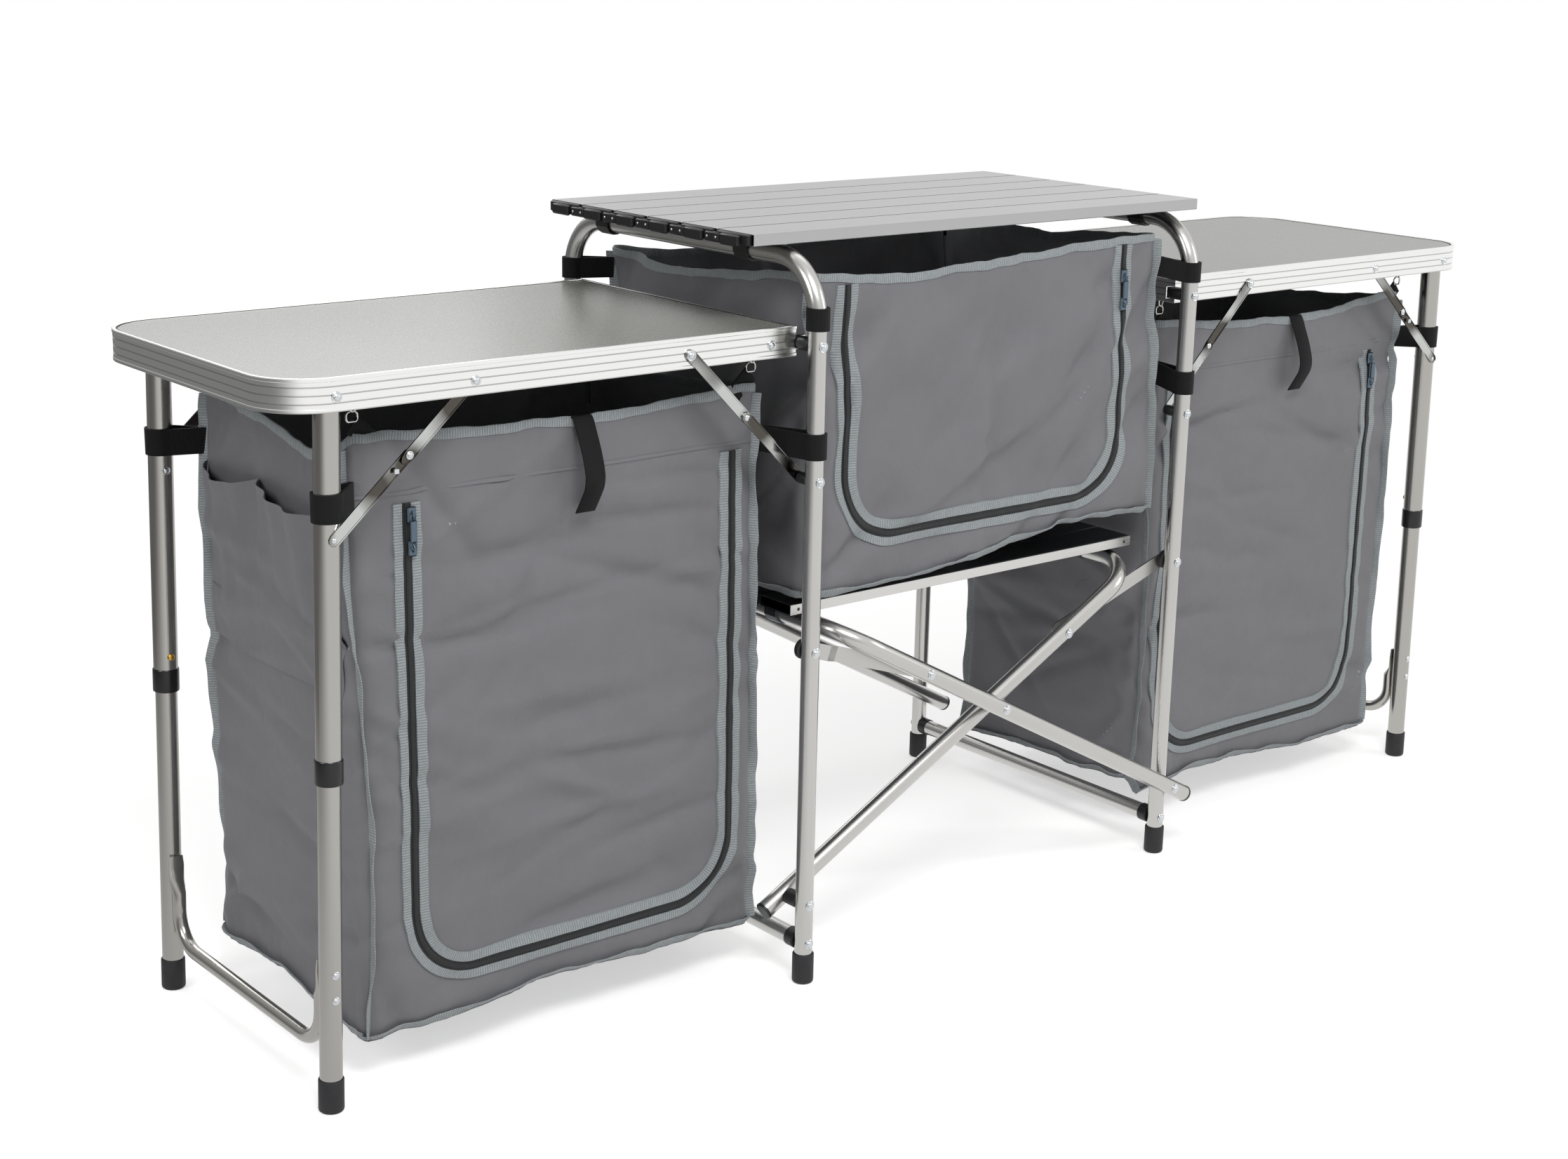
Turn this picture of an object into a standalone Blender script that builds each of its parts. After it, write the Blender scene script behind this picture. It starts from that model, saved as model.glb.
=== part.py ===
# Folding camp kitchen unit: two side tables on telescopic legs, hinged to a
# folding centre frame with a roll-up slat top, a slat shelf and three cupboards.
# Frame: X to the right, Y to the back, Z up, floor at Z = 0. Metres.
import math

import bpy
import numpy as np

for old_object in list(bpy.data.objects):
    bpy.data.objects.remove(old_object, do_unlink=True)

MM = 0.001
GAP = 0.3 * MM

# Driving sizes of the centre frame: two upside-down U frames, the right one set
# back by FRAME_STEP so that it slides past the left one when the unit folds.
FRAME_SPAN = 666 * MM
FRAME_DEPTH = 490 * MM
FRAME_STEP = 36 * MM
FRAME_RADIUS = 11 * MM
FRAME_WALL = 1.2 * MM
FRAME_ABOVE_HINGE = 96 * MM
FRAME_BEND = 70 * MM
PIVOT_HEIGHT = 781 * MM
RAIL_HEIGHT = 52 * MM
HINGE_PIN_RADIUS = 3 * MM
STRUT_BOSS_RADIUS = 7 * MM
LINK_BOSS_RADIUS = 9.5 * MM
ARM_BOSS_RADIUS = 9.5 * MM

# Crossed arm frames. A starts on the left U, B on the right one.
ARM_PIVOT_HEIGHT = 102 * MM
CROSSING_RISE = 179.302 * MM
ARM_ANGLE = math.atan2(CROSSING_RISE, FRAME_SPAN / 2)
ARM_TO_CROSSING = FRAME_SPAN / 2 / math.cos(ARM_ANGLE)
CROSSING_TO_BAR = 301.6 * MM
CROSSING_TO_LINK = 151.8 * MM
ARM_OVERHANG = 33 * MM
ARM_BEND = 60 * MM
ARM_B_OFFSET = 13.6 * MM
ARM_A_OFFSET = 39.9 * MM
LINK_PIVOT_HEIGHT = 420 * MM
LINK_WIDTH = 19 * MM
LINK_THICK = 2.5 * MM
LINK_CRANK_ROOM = 2.448 * MM
LINK_CRANK_RUN = 20 * MM
LINK_NEAR_OFFSET = 15.3 * MM
LINK_FAR_OFFSET = 24.9 * MM
RIGHT_LINK_OFFSET = 15.2 * MM

# Slat roll top and slat shelf.
TOP_LEFT = -390 * MM
TOP_RIGHT = 350 * MM
TOP_FRONT = -216 * MM
TOP_SLAT_WIDTH = 66 * MM
SLAT_GAP = 1.6 * MM
SLAT_HEIGHT = 13.7 * MM
SLAT_COUNT = 6
SLAT_WALL = 1.2 * MM
SLAT_EDGE = 0.8 * MM
SLAT_CUT_PAST = 5 * MM
CLIP_HALF = 14 * MM
CLIP_WIDTH = 24 * MM
CLIP_FRONT_ROOM = 11 * MM
CLIP_REAR_ROOM = 1 * MM
SHELF_HALF_LENGTH = 297 * MM
SHELF_FRONT = -181 * MM
SHELF_SLAT_WIDTH = 59 * MM
SLEEVE_WALL = 1.5 * MM
SLEEVE_WIDTH = 22 * MM
SLEEVE_Y = (-120 * MM, 140 * MM)

# Side tables, measured outwards from the middle of the unit.
TABLE_ABOVE_HINGE = 20 * MM
TRIM_HEIGHT = 35 * MM
TRIM_WALL = 1.5 * MM
TABLE_INSIDE_FRAME = 30 * MM
TABLE_FROM_FRAME = 6 * MM
TABLE_LENGTH = 654 * MM
TABLE_CORNER = 65 * MM
BOARD_THICK = 3 * MM
BOARD_LEDGE = 12 * MM
BRACKET_LENGTH = 52 * MM
BRACKET_THICK = 2 * MM
BRACKET_WIDTH = 17 * MM
TRIM_LIP = 2.2 * MM
LIP_ABOVE_BOARD = 1 * MM
LEDGE_THICK = 1.4 * MM
LOWER_RIB_UP = 8 * MM
UPPER_RIB_DOWN = 9 * MM
RIB_DEPTH = 0.5 * MM
RIB_HALF = 1.2 * MM
CORNER_STEPS = 5

# Telescopic outer legs: they lean outwards by LEG_SPLAY.
LEG_FROM_TABLE_END = 66 * MM
LEG_FROM_TABLE_EDGE = 22.2 * MM
LEG_SPLAY = math.radians(1.5)
LEG_UPPER_RADIUS = 14 * MM
LEG_LOWER_RADIUS = 12.5 * MM
LEG_WALL = 1.2 * MM
LEG_TOP_ARCH = 14.4 * MM
COLLAR_FROM = 382 * MM
COLLAR_TO = 410 * MM
COLLAR_RADIUS = 15.2 * MM
COLLAR_SOCKET = 4 * MM
LOWER_LEG_TOP = 330 * MM
BUTTON_FROM_PIVOT = 367 * MM
BUTTON_RADIUS = 4 * MM
BUTTON_STAND = 3.5 * MM
LEG_FOLDED_LENGTH = 582 * MM
FOOT_HEIGHT = 38 * MM
FOOT_RADIUS = 14.5 * MM
FOOT_FLOOR = 4 * MM
FOOT_WALL = 2.2 * MM
FOOT_SOFT_EDGE = 1.5 * MM
BAR_TOP_HEIGHT = 168 * MM
BAR_FLAT_HEIGHT = 121 * MM
BAR_LOWEST_HEIGHT = 65 * MM
BAR_RADIUS = 8 * MM
BAR_BEND = 42 * MM
BAR_NECK = 12 * MM
BAR_FLAT_HALF_WIDTH = 10 * MM
BAR_FLAT_HALF_THICK = 2.6 * MM
BAR_SIDES = 10

# Folding struts. Distances run from the pivot of the leg or of the hinge.
LEG_STRUT_ON_TABLE = 161 * MM
LEG_STRUT_ON_LEG = 148 * MM
FRAME_STRUT_REACH = 157 * MM
STRUT_HALF_WIDTH = 6.5 * MM
STRUT_THICK = 1.8 * MM
STRUT_FLANGE = 1.1 * MM
STRUT_POCKET = 0.9 * MM
RIVET_ROOM = 2.5 * MM
LEG_PIN_RADIUS = 6 * MM
STRUT_PIN_RADIUS = 5 * MM
STRUT_KNEE_OVERLAP = 12 * MM

# Fabric cupboards.
BAG_WALL = 3 * MM
BAG_CORNER = 24 * MM
BAG_CORNER_STEPS = 3
BAG_TUCK = 14 * MM
SIDE_BAG_FROM_FRAME = 25 * MM
SIDE_BAG_FROM_LEG = 34 * MM
SIDE_BAG_INSIDE_TABLE = 43 * MM
SIDE_BAG_BOTTOM = 60 * MM
SIDE_BAG_BELOW_HINGE = 48 * MM
SIDE_BAG_SAG = 12 * MM
SIDE_SLIDER_FROM_END = 71 * MM
SIDE_SLIDER_FROM_RIM = 93 * MM
CENTRE_BAG_FROM_FRAME = 33 * MM
CENTRE_BAG_FRONT_ROOM = 24 * MM
CENTRE_BAG_BACK_ROOM = 22 * MM
CENTRE_BAG_BOTTOM = 470 * MM
CENTRE_BAG_BELOW_TOP = 15 * MM
CENTRE_BAG_SAG = 6 * MM
CENTRE_SLIDER_FROM_END = 76 * MM
CENTRE_SLIDER_FROM_RIM = 50 * MM
WEBBING = 1.2 * MM
SIDE_STRAP_FROM_RIM = 54 * MM
SIDE_STRAP_WIDTH = 26 * MM
STRAP_TAB_INSET = 1 * MM
CENTRE_STRAP_FROM_RIM = 45 * MM
CENTRE_STRAP_WIDTH = 20 * MM
CENTRE_STRAP_SLACK = 1.4 * MM
SLIDER_WIDTH = 8 * MM
SLIDER_BODY = 12 * MM
SLIDER_PULL = 26 * MM
SLIDER_THICK = 3 * MM

TUBE_SIDES = 12
BEND_STEPS = 4
RING_SIDES = 12
SADDLE_SIDES = 12

# Sizes that follow from the ones above.
HALF_SPAN = FRAME_SPAN / 2
FRAME_TOP = PIVOT_HEIGHT + FRAME_ABOVE_HINGE
LEFT_FRONT_Y = -FRAME_STEP / 2 - FRAME_DEPTH / 2
RIGHT_FRONT_Y = LEFT_FRONT_Y + FRAME_STEP
LEFT_BACK_Y = LEFT_FRONT_Y + FRAME_DEPTH
CLIP_REACH = FRAME_BEND + CLIP_WIDTH / 2
CLIP_FRONT_Y = RIGHT_FRONT_Y + CLIP_REACH + CLIP_FRONT_ROOM
CLIP_BACK_Y = LEFT_BACK_Y - CLIP_REACH - CLIP_REAR_ROOM
ARM_A_FRONT_Y = LEFT_FRONT_Y + ARM_A_OFFSET
ARM_B_FRONT_Y = LEFT_FRONT_Y + ARM_B_OFFSET
ARM_LENGTH = ARM_TO_CROSSING + CROSSING_TO_BAR
CROSSING_HEIGHT = ARM_PIVOT_HEIGHT + ARM_TO_CROSSING * math.sin(ARM_ANGLE)
BAR_HEIGHT = ARM_PIVOT_HEIGHT + ARM_LENGTH * math.sin(ARM_ANGLE)
BAR_X = ARM_LENGTH * math.cos(ARM_ANGLE) - HALF_SPAN
LINK_CRANK_END = HALF_SPAN - BAR_X - LINK_CRANK_ROOM
LINK_CRANK_START = LINK_CRANK_END - LINK_CRANK_RUN
TABLE_TOP = PIVOT_HEIGHT + TABLE_ABOVE_HINGE
TABLE_INNER = HALF_SPAN + TABLE_FROM_FRAME
TABLE_OUTER = TABLE_INNER + TABLE_LENGTH
TRIM_BOTTOM = TABLE_TOP - TRIM_HEIGHT
HALF_TABLE = FRAME_DEPTH / 2 - TABLE_INSIDE_FRAME
TRIM_INNER_FACE = HALF_TABLE - TRIM_WALL
LEG_PIVOT_X = TABLE_OUTER - LEG_FROM_TABLE_END
LEG_OFFSET = HALF_TABLE - LEG_FROM_TABLE_EDGE
LEG_RETRACT = PIVOT_HEIGHT - LEG_FOLDED_LENGTH
BAR_TOP_FROM_PIVOT = PIVOT_HEIGHT - BAR_TOP_HEIGHT
BAR_FLAT_END = PIVOT_HEIGHT - BAR_FLAT_HEIGHT
BAR_LOWEST = PIVOT_HEIGHT - BAR_LOWEST_HEIGHT
SIDE_BAG_INNER = HALF_SPAN + SIDE_BAG_FROM_FRAME
SIDE_BAG_OUTER = LEG_PIVOT_X - SIDE_BAG_FROM_LEG
SIDE_BAG_HALF_DEPTH = HALF_TABLE - SIDE_BAG_INSIDE_TABLE
SIDE_BAG_TOP = PIVOT_HEIGHT - SIDE_BAG_BELOW_HINGE
SIDE_SLIDER_X = SIDE_BAG_OUTER - SIDE_SLIDER_FROM_END
SIDE_SLIDER_Z = SIDE_BAG_TOP - SIDE_SLIDER_FROM_RIM
SIDE_STRAP_HIGH = SIDE_BAG_TOP - SIDE_STRAP_FROM_RIM
SIDE_STRAP_LOW = SIDE_STRAP_HIGH - SIDE_STRAP_WIDTH
CENTRE_BAG_HALF = HALF_SPAN - CENTRE_BAG_FROM_FRAME
CENTRE_BAG_FRONT = RIGHT_FRONT_Y + CENTRE_BAG_FRONT_ROOM
CENTRE_BAG_BACK = LEFT_BACK_Y - CENTRE_BAG_BACK_ROOM
CENTRE_BAG_TOP = FRAME_TOP - CENTRE_BAG_BELOW_TOP
CENTRE_SLIDER_X = CENTRE_BAG_HALF - CENTRE_SLIDER_FROM_END
CENTRE_SLIDER_Z = CENTRE_BAG_TOP - CENTRE_SLIDER_FROM_RIM
CENTRE_STRAP_HIGH = CENTRE_BAG_TOP - CENTRE_STRAP_FROM_RIM
CENTRE_STRAP_LOW = CENTRE_STRAP_HIGH - CENTRE_STRAP_WIDTH


# Shapes are pairs: an array of points and a list of faces that point outwards.
def joined(*shapes):
    """Puts several separate closed solids into one shape."""
    points = []
    faces = []
    count = 0
    for shape_points, shape_faces in shapes:
        points.append(np.asarray(shape_points, float))
        faces.extend(tuple(index + count for index in face) for face in shape_faces)
        count += len(shape_points)
    return np.vstack(points), faces


def flipped(shape):
    points, faces = shape
    return points, [tuple(reversed(face)) for face in faces]


def outward(shape):
    """Turns a closed shape so that its volume is positive."""
    points, faces = shape
    volume = 0.0
    for face in faces:
        first = points[face[0]]
        for second, third in zip(face[1:-1], face[2:]):
            volume += np.dot(first, np.cross(points[second], points[third]))
    return shape if volume > 0 else flipped(shape)


def on_side(shape, side):
    """Moves a shape given outwards of the middle to the left or right table."""
    points, faces = shape
    moved = np.array(points, float)
    moved[:, 0] *= side
    moved[:, 1] += side * FRAME_STEP / 2
    return (moved, faces) if side > 0 else flipped((moved, faces))


def rings_to_faces(ring_count, ring_size, closed_path):
    faces = []
    last = ring_count if closed_path else ring_count - 1
    for ring in range(last):
        here = ring * ring_size
        there = ((ring + 1) % ring_count) * ring_size
        for index in range(ring_size):
            after = (index + 1) % ring_size
            faces.append((here + index, here + after, there + after, there + index))
    return faces


def circle_angles(sides):
    return (np.arange(sides) + 0.5) * 2 * math.pi / sides


def path_frames(path, normal):
    """Tangent and second cross direction at each point of a flat path."""
    steps = np.diff(path, axis=0)
    steps /= np.linalg.norm(steps, axis=1)[:, None]
    tangents = np.vstack([steps[:1], steps[:-1] + steps[1:], steps[-1:]])
    tangents /= np.linalg.norm(tangents, axis=1)[:, None]
    second = np.cross(tangents, normal)
    return tangents, second


def tube(path, normal, radius, wall, sides=TUBE_SIDES):
    """Hollow round tube along a flat path whose plane has this normal."""
    path = np.asarray(path, float)
    normal = np.asarray(normal, float)
    tangents, second = path_frames(path, normal)
    angles = circle_angles(sides)
    rings = []
    for size in (radius, radius - wall):
        across = np.cos(angles)[None, :, None] * normal
        across = across + np.sin(angles)[None, :, None] * second[:, None, :]
        rings.append(path[:, None, :] + size * across)
    outer = rings[0].reshape(-1, 3)
    inner = rings[1].reshape(-1, 3)
    count = len(path)
    faces = rings_to_faces(count, sides, False)
    shift = len(outer)
    inside = rings_to_faces(count, sides, False)
    faces += [tuple(reversed([index + shift for index in face])) for face in inside]
    last = (count - 1) * sides
    for index in range(sides):
        after = (index + 1) % sides
        faces.append((after, index, index + shift, after + shift))
        faces.append((last + index, last + after, last + after + shift, last + index + shift))
    return outward((np.vstack([outer, inner]), faces))


def solid_sweep(path, normal, half_across, half_along, sides):
    """Solid bar whose oval section changes from point to point of the path."""
    path = np.asarray(path, float)
    normal = np.asarray(normal, float)
    tangents, second = path_frames(path, normal)
    angles = circle_angles(sides)
    across = np.asarray(half_across)[:, None, None] * np.cos(angles)[None, :, None] * normal
    along = np.asarray(half_along)[:, None, None] * np.sin(angles)[None, :, None]
    points = path[:, None, :] + across + along * second[:, None, :]
    faces = rings_to_faces(len(path), sides, False)
    last = (len(path) - 1) * sides
    faces.append(tuple(reversed(range(sides))))
    faces.append(tuple(range(last, last + sides)))
    return outward((points.reshape(-1, 3), faces))


def bent_path(corners, radius, steps=BEND_STEPS):
    """Polyline through the corners with each inner corner rounded."""
    corners = [np.asarray(corner, float) for corner in corners]
    path = [corners[0]]
    for before, corner, after in zip(corners[:-2], corners[1:-1], corners[2:]):
        into = (before - corner) / np.linalg.norm(before - corner)
        out = (after - corner) / np.linalg.norm(after - corner)
        opening = math.acos(float(np.clip(np.dot(into, out), -1, 1)))
        reach = radius / math.tan(opening / 2)
        bisector = (into + out) / np.linalg.norm(into + out)
        centre = corner + bisector * radius / math.sin(opening / 2)
        start = corner + into * reach - centre
        turn = math.pi - opening
        axis = np.cross(into, out)
        axis = axis / np.linalg.norm(axis)
        for step in range(steps + 1):
            angle = -turn * step / steps
            spun = start * math.cos(angle) + np.cross(axis, start) * math.sin(angle)
            path.append(centre + spun)
    path.append(corners[-1])
    return np.array(path)


def axis_basis(axis):
    axis = np.asarray(axis, float)
    axis = axis / np.linalg.norm(axis)
    helper = np.array([0.0, 0.0, 1.0]) if abs(axis[2]) < 0.9 else np.array([1.0, 0.0, 0.0])
    first = np.cross(helper, axis)
    first /= np.linalg.norm(first)
    return first, np.cross(axis, first), axis


def turned(profile, origin, axis, sides, closed=False):
    """Turned part: profile of (radius, height) pairs about the axis.

    An open profile starts and ends on the axis with a flat cap; a closed one
    is a ring section."""
    first, second, along = axis_basis(axis)
    angles = circle_angles(sides)
    points = []
    for radius, height in profile:
        ring = radius * (np.cos(angles)[:, None] * first + np.sin(angles)[:, None] * second)
        points.append(np.asarray(origin, float) + ring + height * along)
    faces = rings_to_faces(len(profile), sides, closed)
    if not closed:
        last = (len(profile) - 1) * sides
        faces.append(tuple(reversed(range(sides))))
        faces.append(tuple(range(last, last + sides)))
    return outward((np.vstack(points), faces))


def disc(origin, axis, radius, start, end, sides=RING_SIDES):
    return turned([(radius, start), (radius, end)], origin, axis, sides)


def sleeve(origin, axis, inner, outer, start, end, sides=RING_SIDES):
    """Ring round a tube; its flat-sided hole still clears the round tube."""
    hole = inner / math.cos(math.pi / sides)
    profile = [(hole, start), (outer, start), (outer, end), (hole, end)]
    return turned(profile, origin, axis, sides, closed=True)


def prism(outline, place, start, end):
    """Outline of 2-D points pushed from start to end; place maps (u, v, w)."""
    low = place(np.array([(u, v, start) for u, v in outline]))
    high = place(np.array([(u, v, end) for u, v in outline]))
    size = len(outline)
    faces = rings_to_faces(2, size, False)
    faces.append(tuple(reversed(range(size))))
    faces.append(tuple(range(size, 2 * size)))
    return outward((np.vstack([low, high]), faces))


def ring_prism(outer, inner, place, start, end):
    """Hollow section pushed from start to end; both outlines match in count."""
    size = len(outer)
    loops = [(outer, start), (outer, end), (inner, end), (inner, start)]
    points = [place(np.array([(u, v, w) for u, v in loop])) for loop, w in loops]
    faces = rings_to_faces(4, size, True)
    return outward((np.vstack(points), faces))


def box(low, high):
    low = np.asarray(low, float)
    high = np.asarray(high, float)
    outline = [(low[0], low[1]), (high[0], low[1]), (high[0], high[1]), (low[0], high[1])]
    return prism(outline, lambda p: p, low[2], high[2])


def section_along_x(points):
    return points[:, [2, 0, 1]]


def section_along_y(points):
    return points[:, [0, 2, 1]]


def mitre_offset(outline, distance):
    """Moves a closed counter-clockwise outline inwards by distance."""
    outline = np.asarray(outline, float)
    ahead = np.roll(outline, -1, axis=0) - outline
    ahead /= np.linalg.norm(ahead, axis=1)[:, None]
    behind = np.roll(ahead, 1, axis=0)
    normals_ahead = np.stack([-ahead[:, 1], ahead[:, 0]], axis=1)
    normals_behind = np.stack([-behind[:, 1], behind[:, 0]], axis=1)
    mitre = normals_ahead + normals_behind
    mitre /= (mitre * normals_ahead).sum(axis=1)[:, None]
    return outline + mitre * distance


def rounded_outline(low, high, radii, steps):
    """Counter-clockwise rectangle; radii are for its four corners in turn."""
    corners = [(low[0], low[1]), (high[0], low[1]), (high[0], high[1]), (low[0], high[1])]
    starts = (math.pi, 1.5 * math.pi, 0.0, 0.5 * math.pi)
    points = []
    for (x, y), radius, start in zip(corners, radii, starts):
        if radius == 0:
            points.append((x, y))
            continue
        inward_x = 1 if x == low[0] else -1
        inward_y = 1 if y == low[1] else -1
        centre = (x + inward_x * radius, y + inward_y * radius)
        for step in range(steps + 1):
            angle = start + step * math.pi / 2 / steps
            spot = (centre[0] + radius * math.cos(angle), centre[1] + radius * math.sin(angle))
            points.append(spot)
    return np.array(points)


def flat_bar(start, end, width, near_y, far_y, crank=None):
    """Link bar with round ends in the XZ plane; crank moves its middle in Y."""
    start = np.asarray(start, float)
    end = np.asarray(end, float)
    length = np.linalg.norm(end - start)
    along = (end - start) / length
    across = np.array([-along[1], along[0]])
    half = width / 2
    turns = np.radians([75, 45, 15])
    stations = [(-half * math.sin(t), half * math.cos(t), 0.0) for t in turns]
    middle = [0.0] if crank is None else [0.0, crank[0], crank[1]]
    stations += [(spot, half, 0.0 if spot <= 0 or spot < crank[1] else 1.0) for spot in middle]
    stations += [(length, half, 1.0)]
    stations += [(length + half * math.sin(t), half * math.cos(t), 1.0) for t in turns[::-1]]
    shift = 0.0 if crank is None else crank[2]
    points = []
    for spot, half_width, moved in stations:
        for sign, y in ((-1, near_y), (1, near_y), (1, far_y), (-1, far_y)):
            flat = start + along * spot + across * half_width * sign
            points.append((flat[0], y + moved * shift, flat[1]))
    faces = rings_to_faces(len(stations), 4, False)
    last = (len(stations) - 1) * 4
    faces.append((3, 2, 1, 0))
    faces.append((last, last + 1, last + 2, last + 3))
    return outward((np.array(points), faces))


def channel_strut(start, end, back_y, open_y, reach_start, reach_end):
    """Pressed steel strut half: a strip with turned-up edges and round ends."""
    start = np.asarray(start, float)
    end = np.asarray(end, float)
    length = np.linalg.norm(end - start)
    along = (end - start) / length
    across = np.array([-along[1], along[0]])
    half = STRUT_HALF_WIDTH
    floor_y = open_y - math.copysign(STRUT_POCKET, open_y - back_y)
    turns = np.radians([72, 40])
    ends = [(reach_start * math.sin(t), half * math.cos(t)) for t in turns]
    stations = [(-reach, wide) for reach, wide in ends] + [(0.0, half), (length, half)]
    ends = [(reach_end * math.sin(t), half * math.cos(t)) for t in turns[::-1]]
    stations += [(length + reach, wide) for reach, wide in ends]
    points = []
    for spot, wide in stations:
        edge = wide - min(STRUT_FLANGE, wide * 0.3)
        section = [(-wide, back_y), (wide, back_y), (wide, open_y), (edge, open_y)]
        section += [(edge, floor_y), (-edge, floor_y), (-edge, open_y), (-wide, open_y)]
        for side, y in section:
            flat = start + along * spot + across * side
            points.append((flat[0], y, flat[1]))
    corners = len(section)
    faces = rings_to_faces(len(stations), corners, False)
    last = (len(stations) - 1) * corners
    faces.append(tuple(reversed(range(corners))))
    faces.append(tuple(range(last, last + corners)))
    return outward((np.array(points), faces))


def make_material(name, colour, metallic, roughness):
    material = bpy.data.materials.new(name)
    material.use_nodes = True
    shader = material.node_tree.nodes["Principled BSDF"]
    shader.inputs["Base Color"].default_value = (*colour, 1.0)
    shader.inputs["Metallic"].default_value = metallic
    shader.inputs["Roughness"].default_value = roughness
    return material


def make_node(name, shape, finish, origin=(0, 0, 0), smooth=True):
    """One object with its origin on the joint axis and its own material."""
    points, faces = shape
    origin = np.asarray(origin, float)
    mesh = bpy.data.meshes.new(name)
    mesh.from_pydata((np.asarray(points) - origin).tolist(), [], faces)
    mesh.update()
    mesh.polygons.foreach_set("use_smooth", [smooth] * len(mesh.polygons))
    item = bpy.data.objects.new(name, mesh)
    item.location = origin
    bpy.context.scene.collection.objects.link(item)
    item.data.materials.append(make_material(name + "_finish", *finish))
    return item


def combine(item, name, shape, operation):
    """Adds a tool body to an object, or cuts it out; the tool stays hidden."""
    points, faces = shape
    mesh = bpy.data.meshes.new(name)
    mesh.from_pydata(np.asarray(points).tolist(), [], faces)
    mesh.update()
    tool = bpy.data.objects.new(name, mesh)
    bpy.context.scene.collection.objects.link(tool)
    tool.hide_render = True
    tool.display_type = "WIRE"
    modifier = item.modifiers.new(name, "BOOLEAN")
    modifier.operation = operation
    modifier.solver = "EXACT"
    modifier.object = tool


ALUMINIUM = ((0.55, 0.55, 0.54), 1.0, 0.35)
ZINC = ((0.45, 0.47, 0.46), 1.0, 0.4)
BRASS = ((0.60, 0.45, 0.18), 1.0, 0.35)
LAMINATE = ((0.52, 0.50, 0.46), 0.0, 0.35)
BLACK_PLASTIC = ((0.02, 0.02, 0.022), 0.0, 0.5)
BLACK_RUBBER = ((0.02, 0.02, 0.02), 0.0, 0.7)
GREY_CLOTH = ((0.17, 0.17, 0.18), 0.0, 0.9)


# Centre U frames: bent aluminium tube with spacer bosses, rail and rubber feet.
SURFACE = FRAME_RADIUS + GAP
BOSS_ROOT = FRAME_RADIUS - FRAME_WALL + 0.2 * MM


def frame_tube(side, front, back):
    x = side * HALF_SPAN
    corners = [(x, front, FOOT_FLOOR + GAP), (x, front, FRAME_TOP)]
    corners += [(x, back, FRAME_TOP), (x, back, FOOT_FLOOR + GAP)]
    return tube(bent_path(corners, FRAME_BEND), (1, 0, 0), FRAME_RADIUS, FRAME_WALL)


def frame_bosses(side, front, back):
    """Spacers on the legs for the hinge, the struts, the links and arm A."""
    x = side * HALF_SPAN
    shapes = []
    hinge_end = FRAME_DEPTH / 2 - HALF_TABLE + TRIM_WALL
    strut_end = FRAME_DEPTH / 2 - HALF_TABLE - 3 * GAP - 2 * STRUT_THICK
    for y, inward in ((front, 1), (back, -1)):
        toward = (0, inward, 0)
        hinge = (x, y, PIVOT_HEIGHT)
        shapes.append(disc(hinge, toward, HINGE_PIN_RADIUS, BOSS_ROOT, hinge_end))
        strut_low = (x, y, PIVOT_HEIGHT - FRAME_STRUT_REACH)
        shapes.append(disc(strut_low, toward, STRUT_BOSS_RADIUS, BOSS_ROOT, strut_end))
        link_end = LINK_NEAR_OFFSET - GAP if side < 0 else RIGHT_LINK_OFFSET - GAP
        link_pivot = (x, y, LINK_PIVOT_HEIGHT)
        shapes.append(disc(link_pivot, (0, 1, 0), LINK_BOSS_RADIUS, BOSS_ROOT, link_end))
        if side < 0:
            arm_end = ARM_A_OFFSET - SURFACE
            arm_pivot = (x, y, ARM_PIVOT_HEIGHT)
            shapes.append(disc(arm_pivot, (0, 1, 0), ARM_BOSS_RADIUS, BOSS_ROOT, arm_end))
    return joined(*shapes)


def boot(inner_radius, outer_radius, height):
    """Rubber foot as a turned profile, from its inner floor round to its sole."""
    hole = inner_radius / math.cos(math.pi / RING_SIDES)
    return [
        (hole, FOOT_FLOOR),
        (hole, height),
        (outer_radius - FOOT_SOFT_EDGE / 2, height),
        (outer_radius, height - FOOT_SOFT_EDGE),
        (outer_radius, FOOT_SOFT_EDGE),
        (outer_radius - FOOT_SOFT_EDGE, 0.0),
    ]


def saddle_clip(x, y):
    """Ring round the top tube with a flat upper face for the slats."""
    angles = circle_angles(SADDLE_SIDES)
    square = np.maximum(np.abs(np.cos(angles)), np.abs(np.sin(angles)))
    reach = np.where(np.sin(angles) > 0, CLIP_HALF / square, CLIP_HALF)
    round_face = np.stack([np.cos(angles), np.sin(angles)], axis=1)
    centre = np.array([x, FRAME_TOP])
    outer = reach[:, None] * round_face + centre
    inner = SURFACE / math.cos(math.pi / SADDLE_SIDES) * round_face + centre
    start = y - CLIP_WIDTH / 2
    end = y + CLIP_WIDTH / 2
    return ring_prism(outer, inner, section_along_y, start, end)


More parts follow.
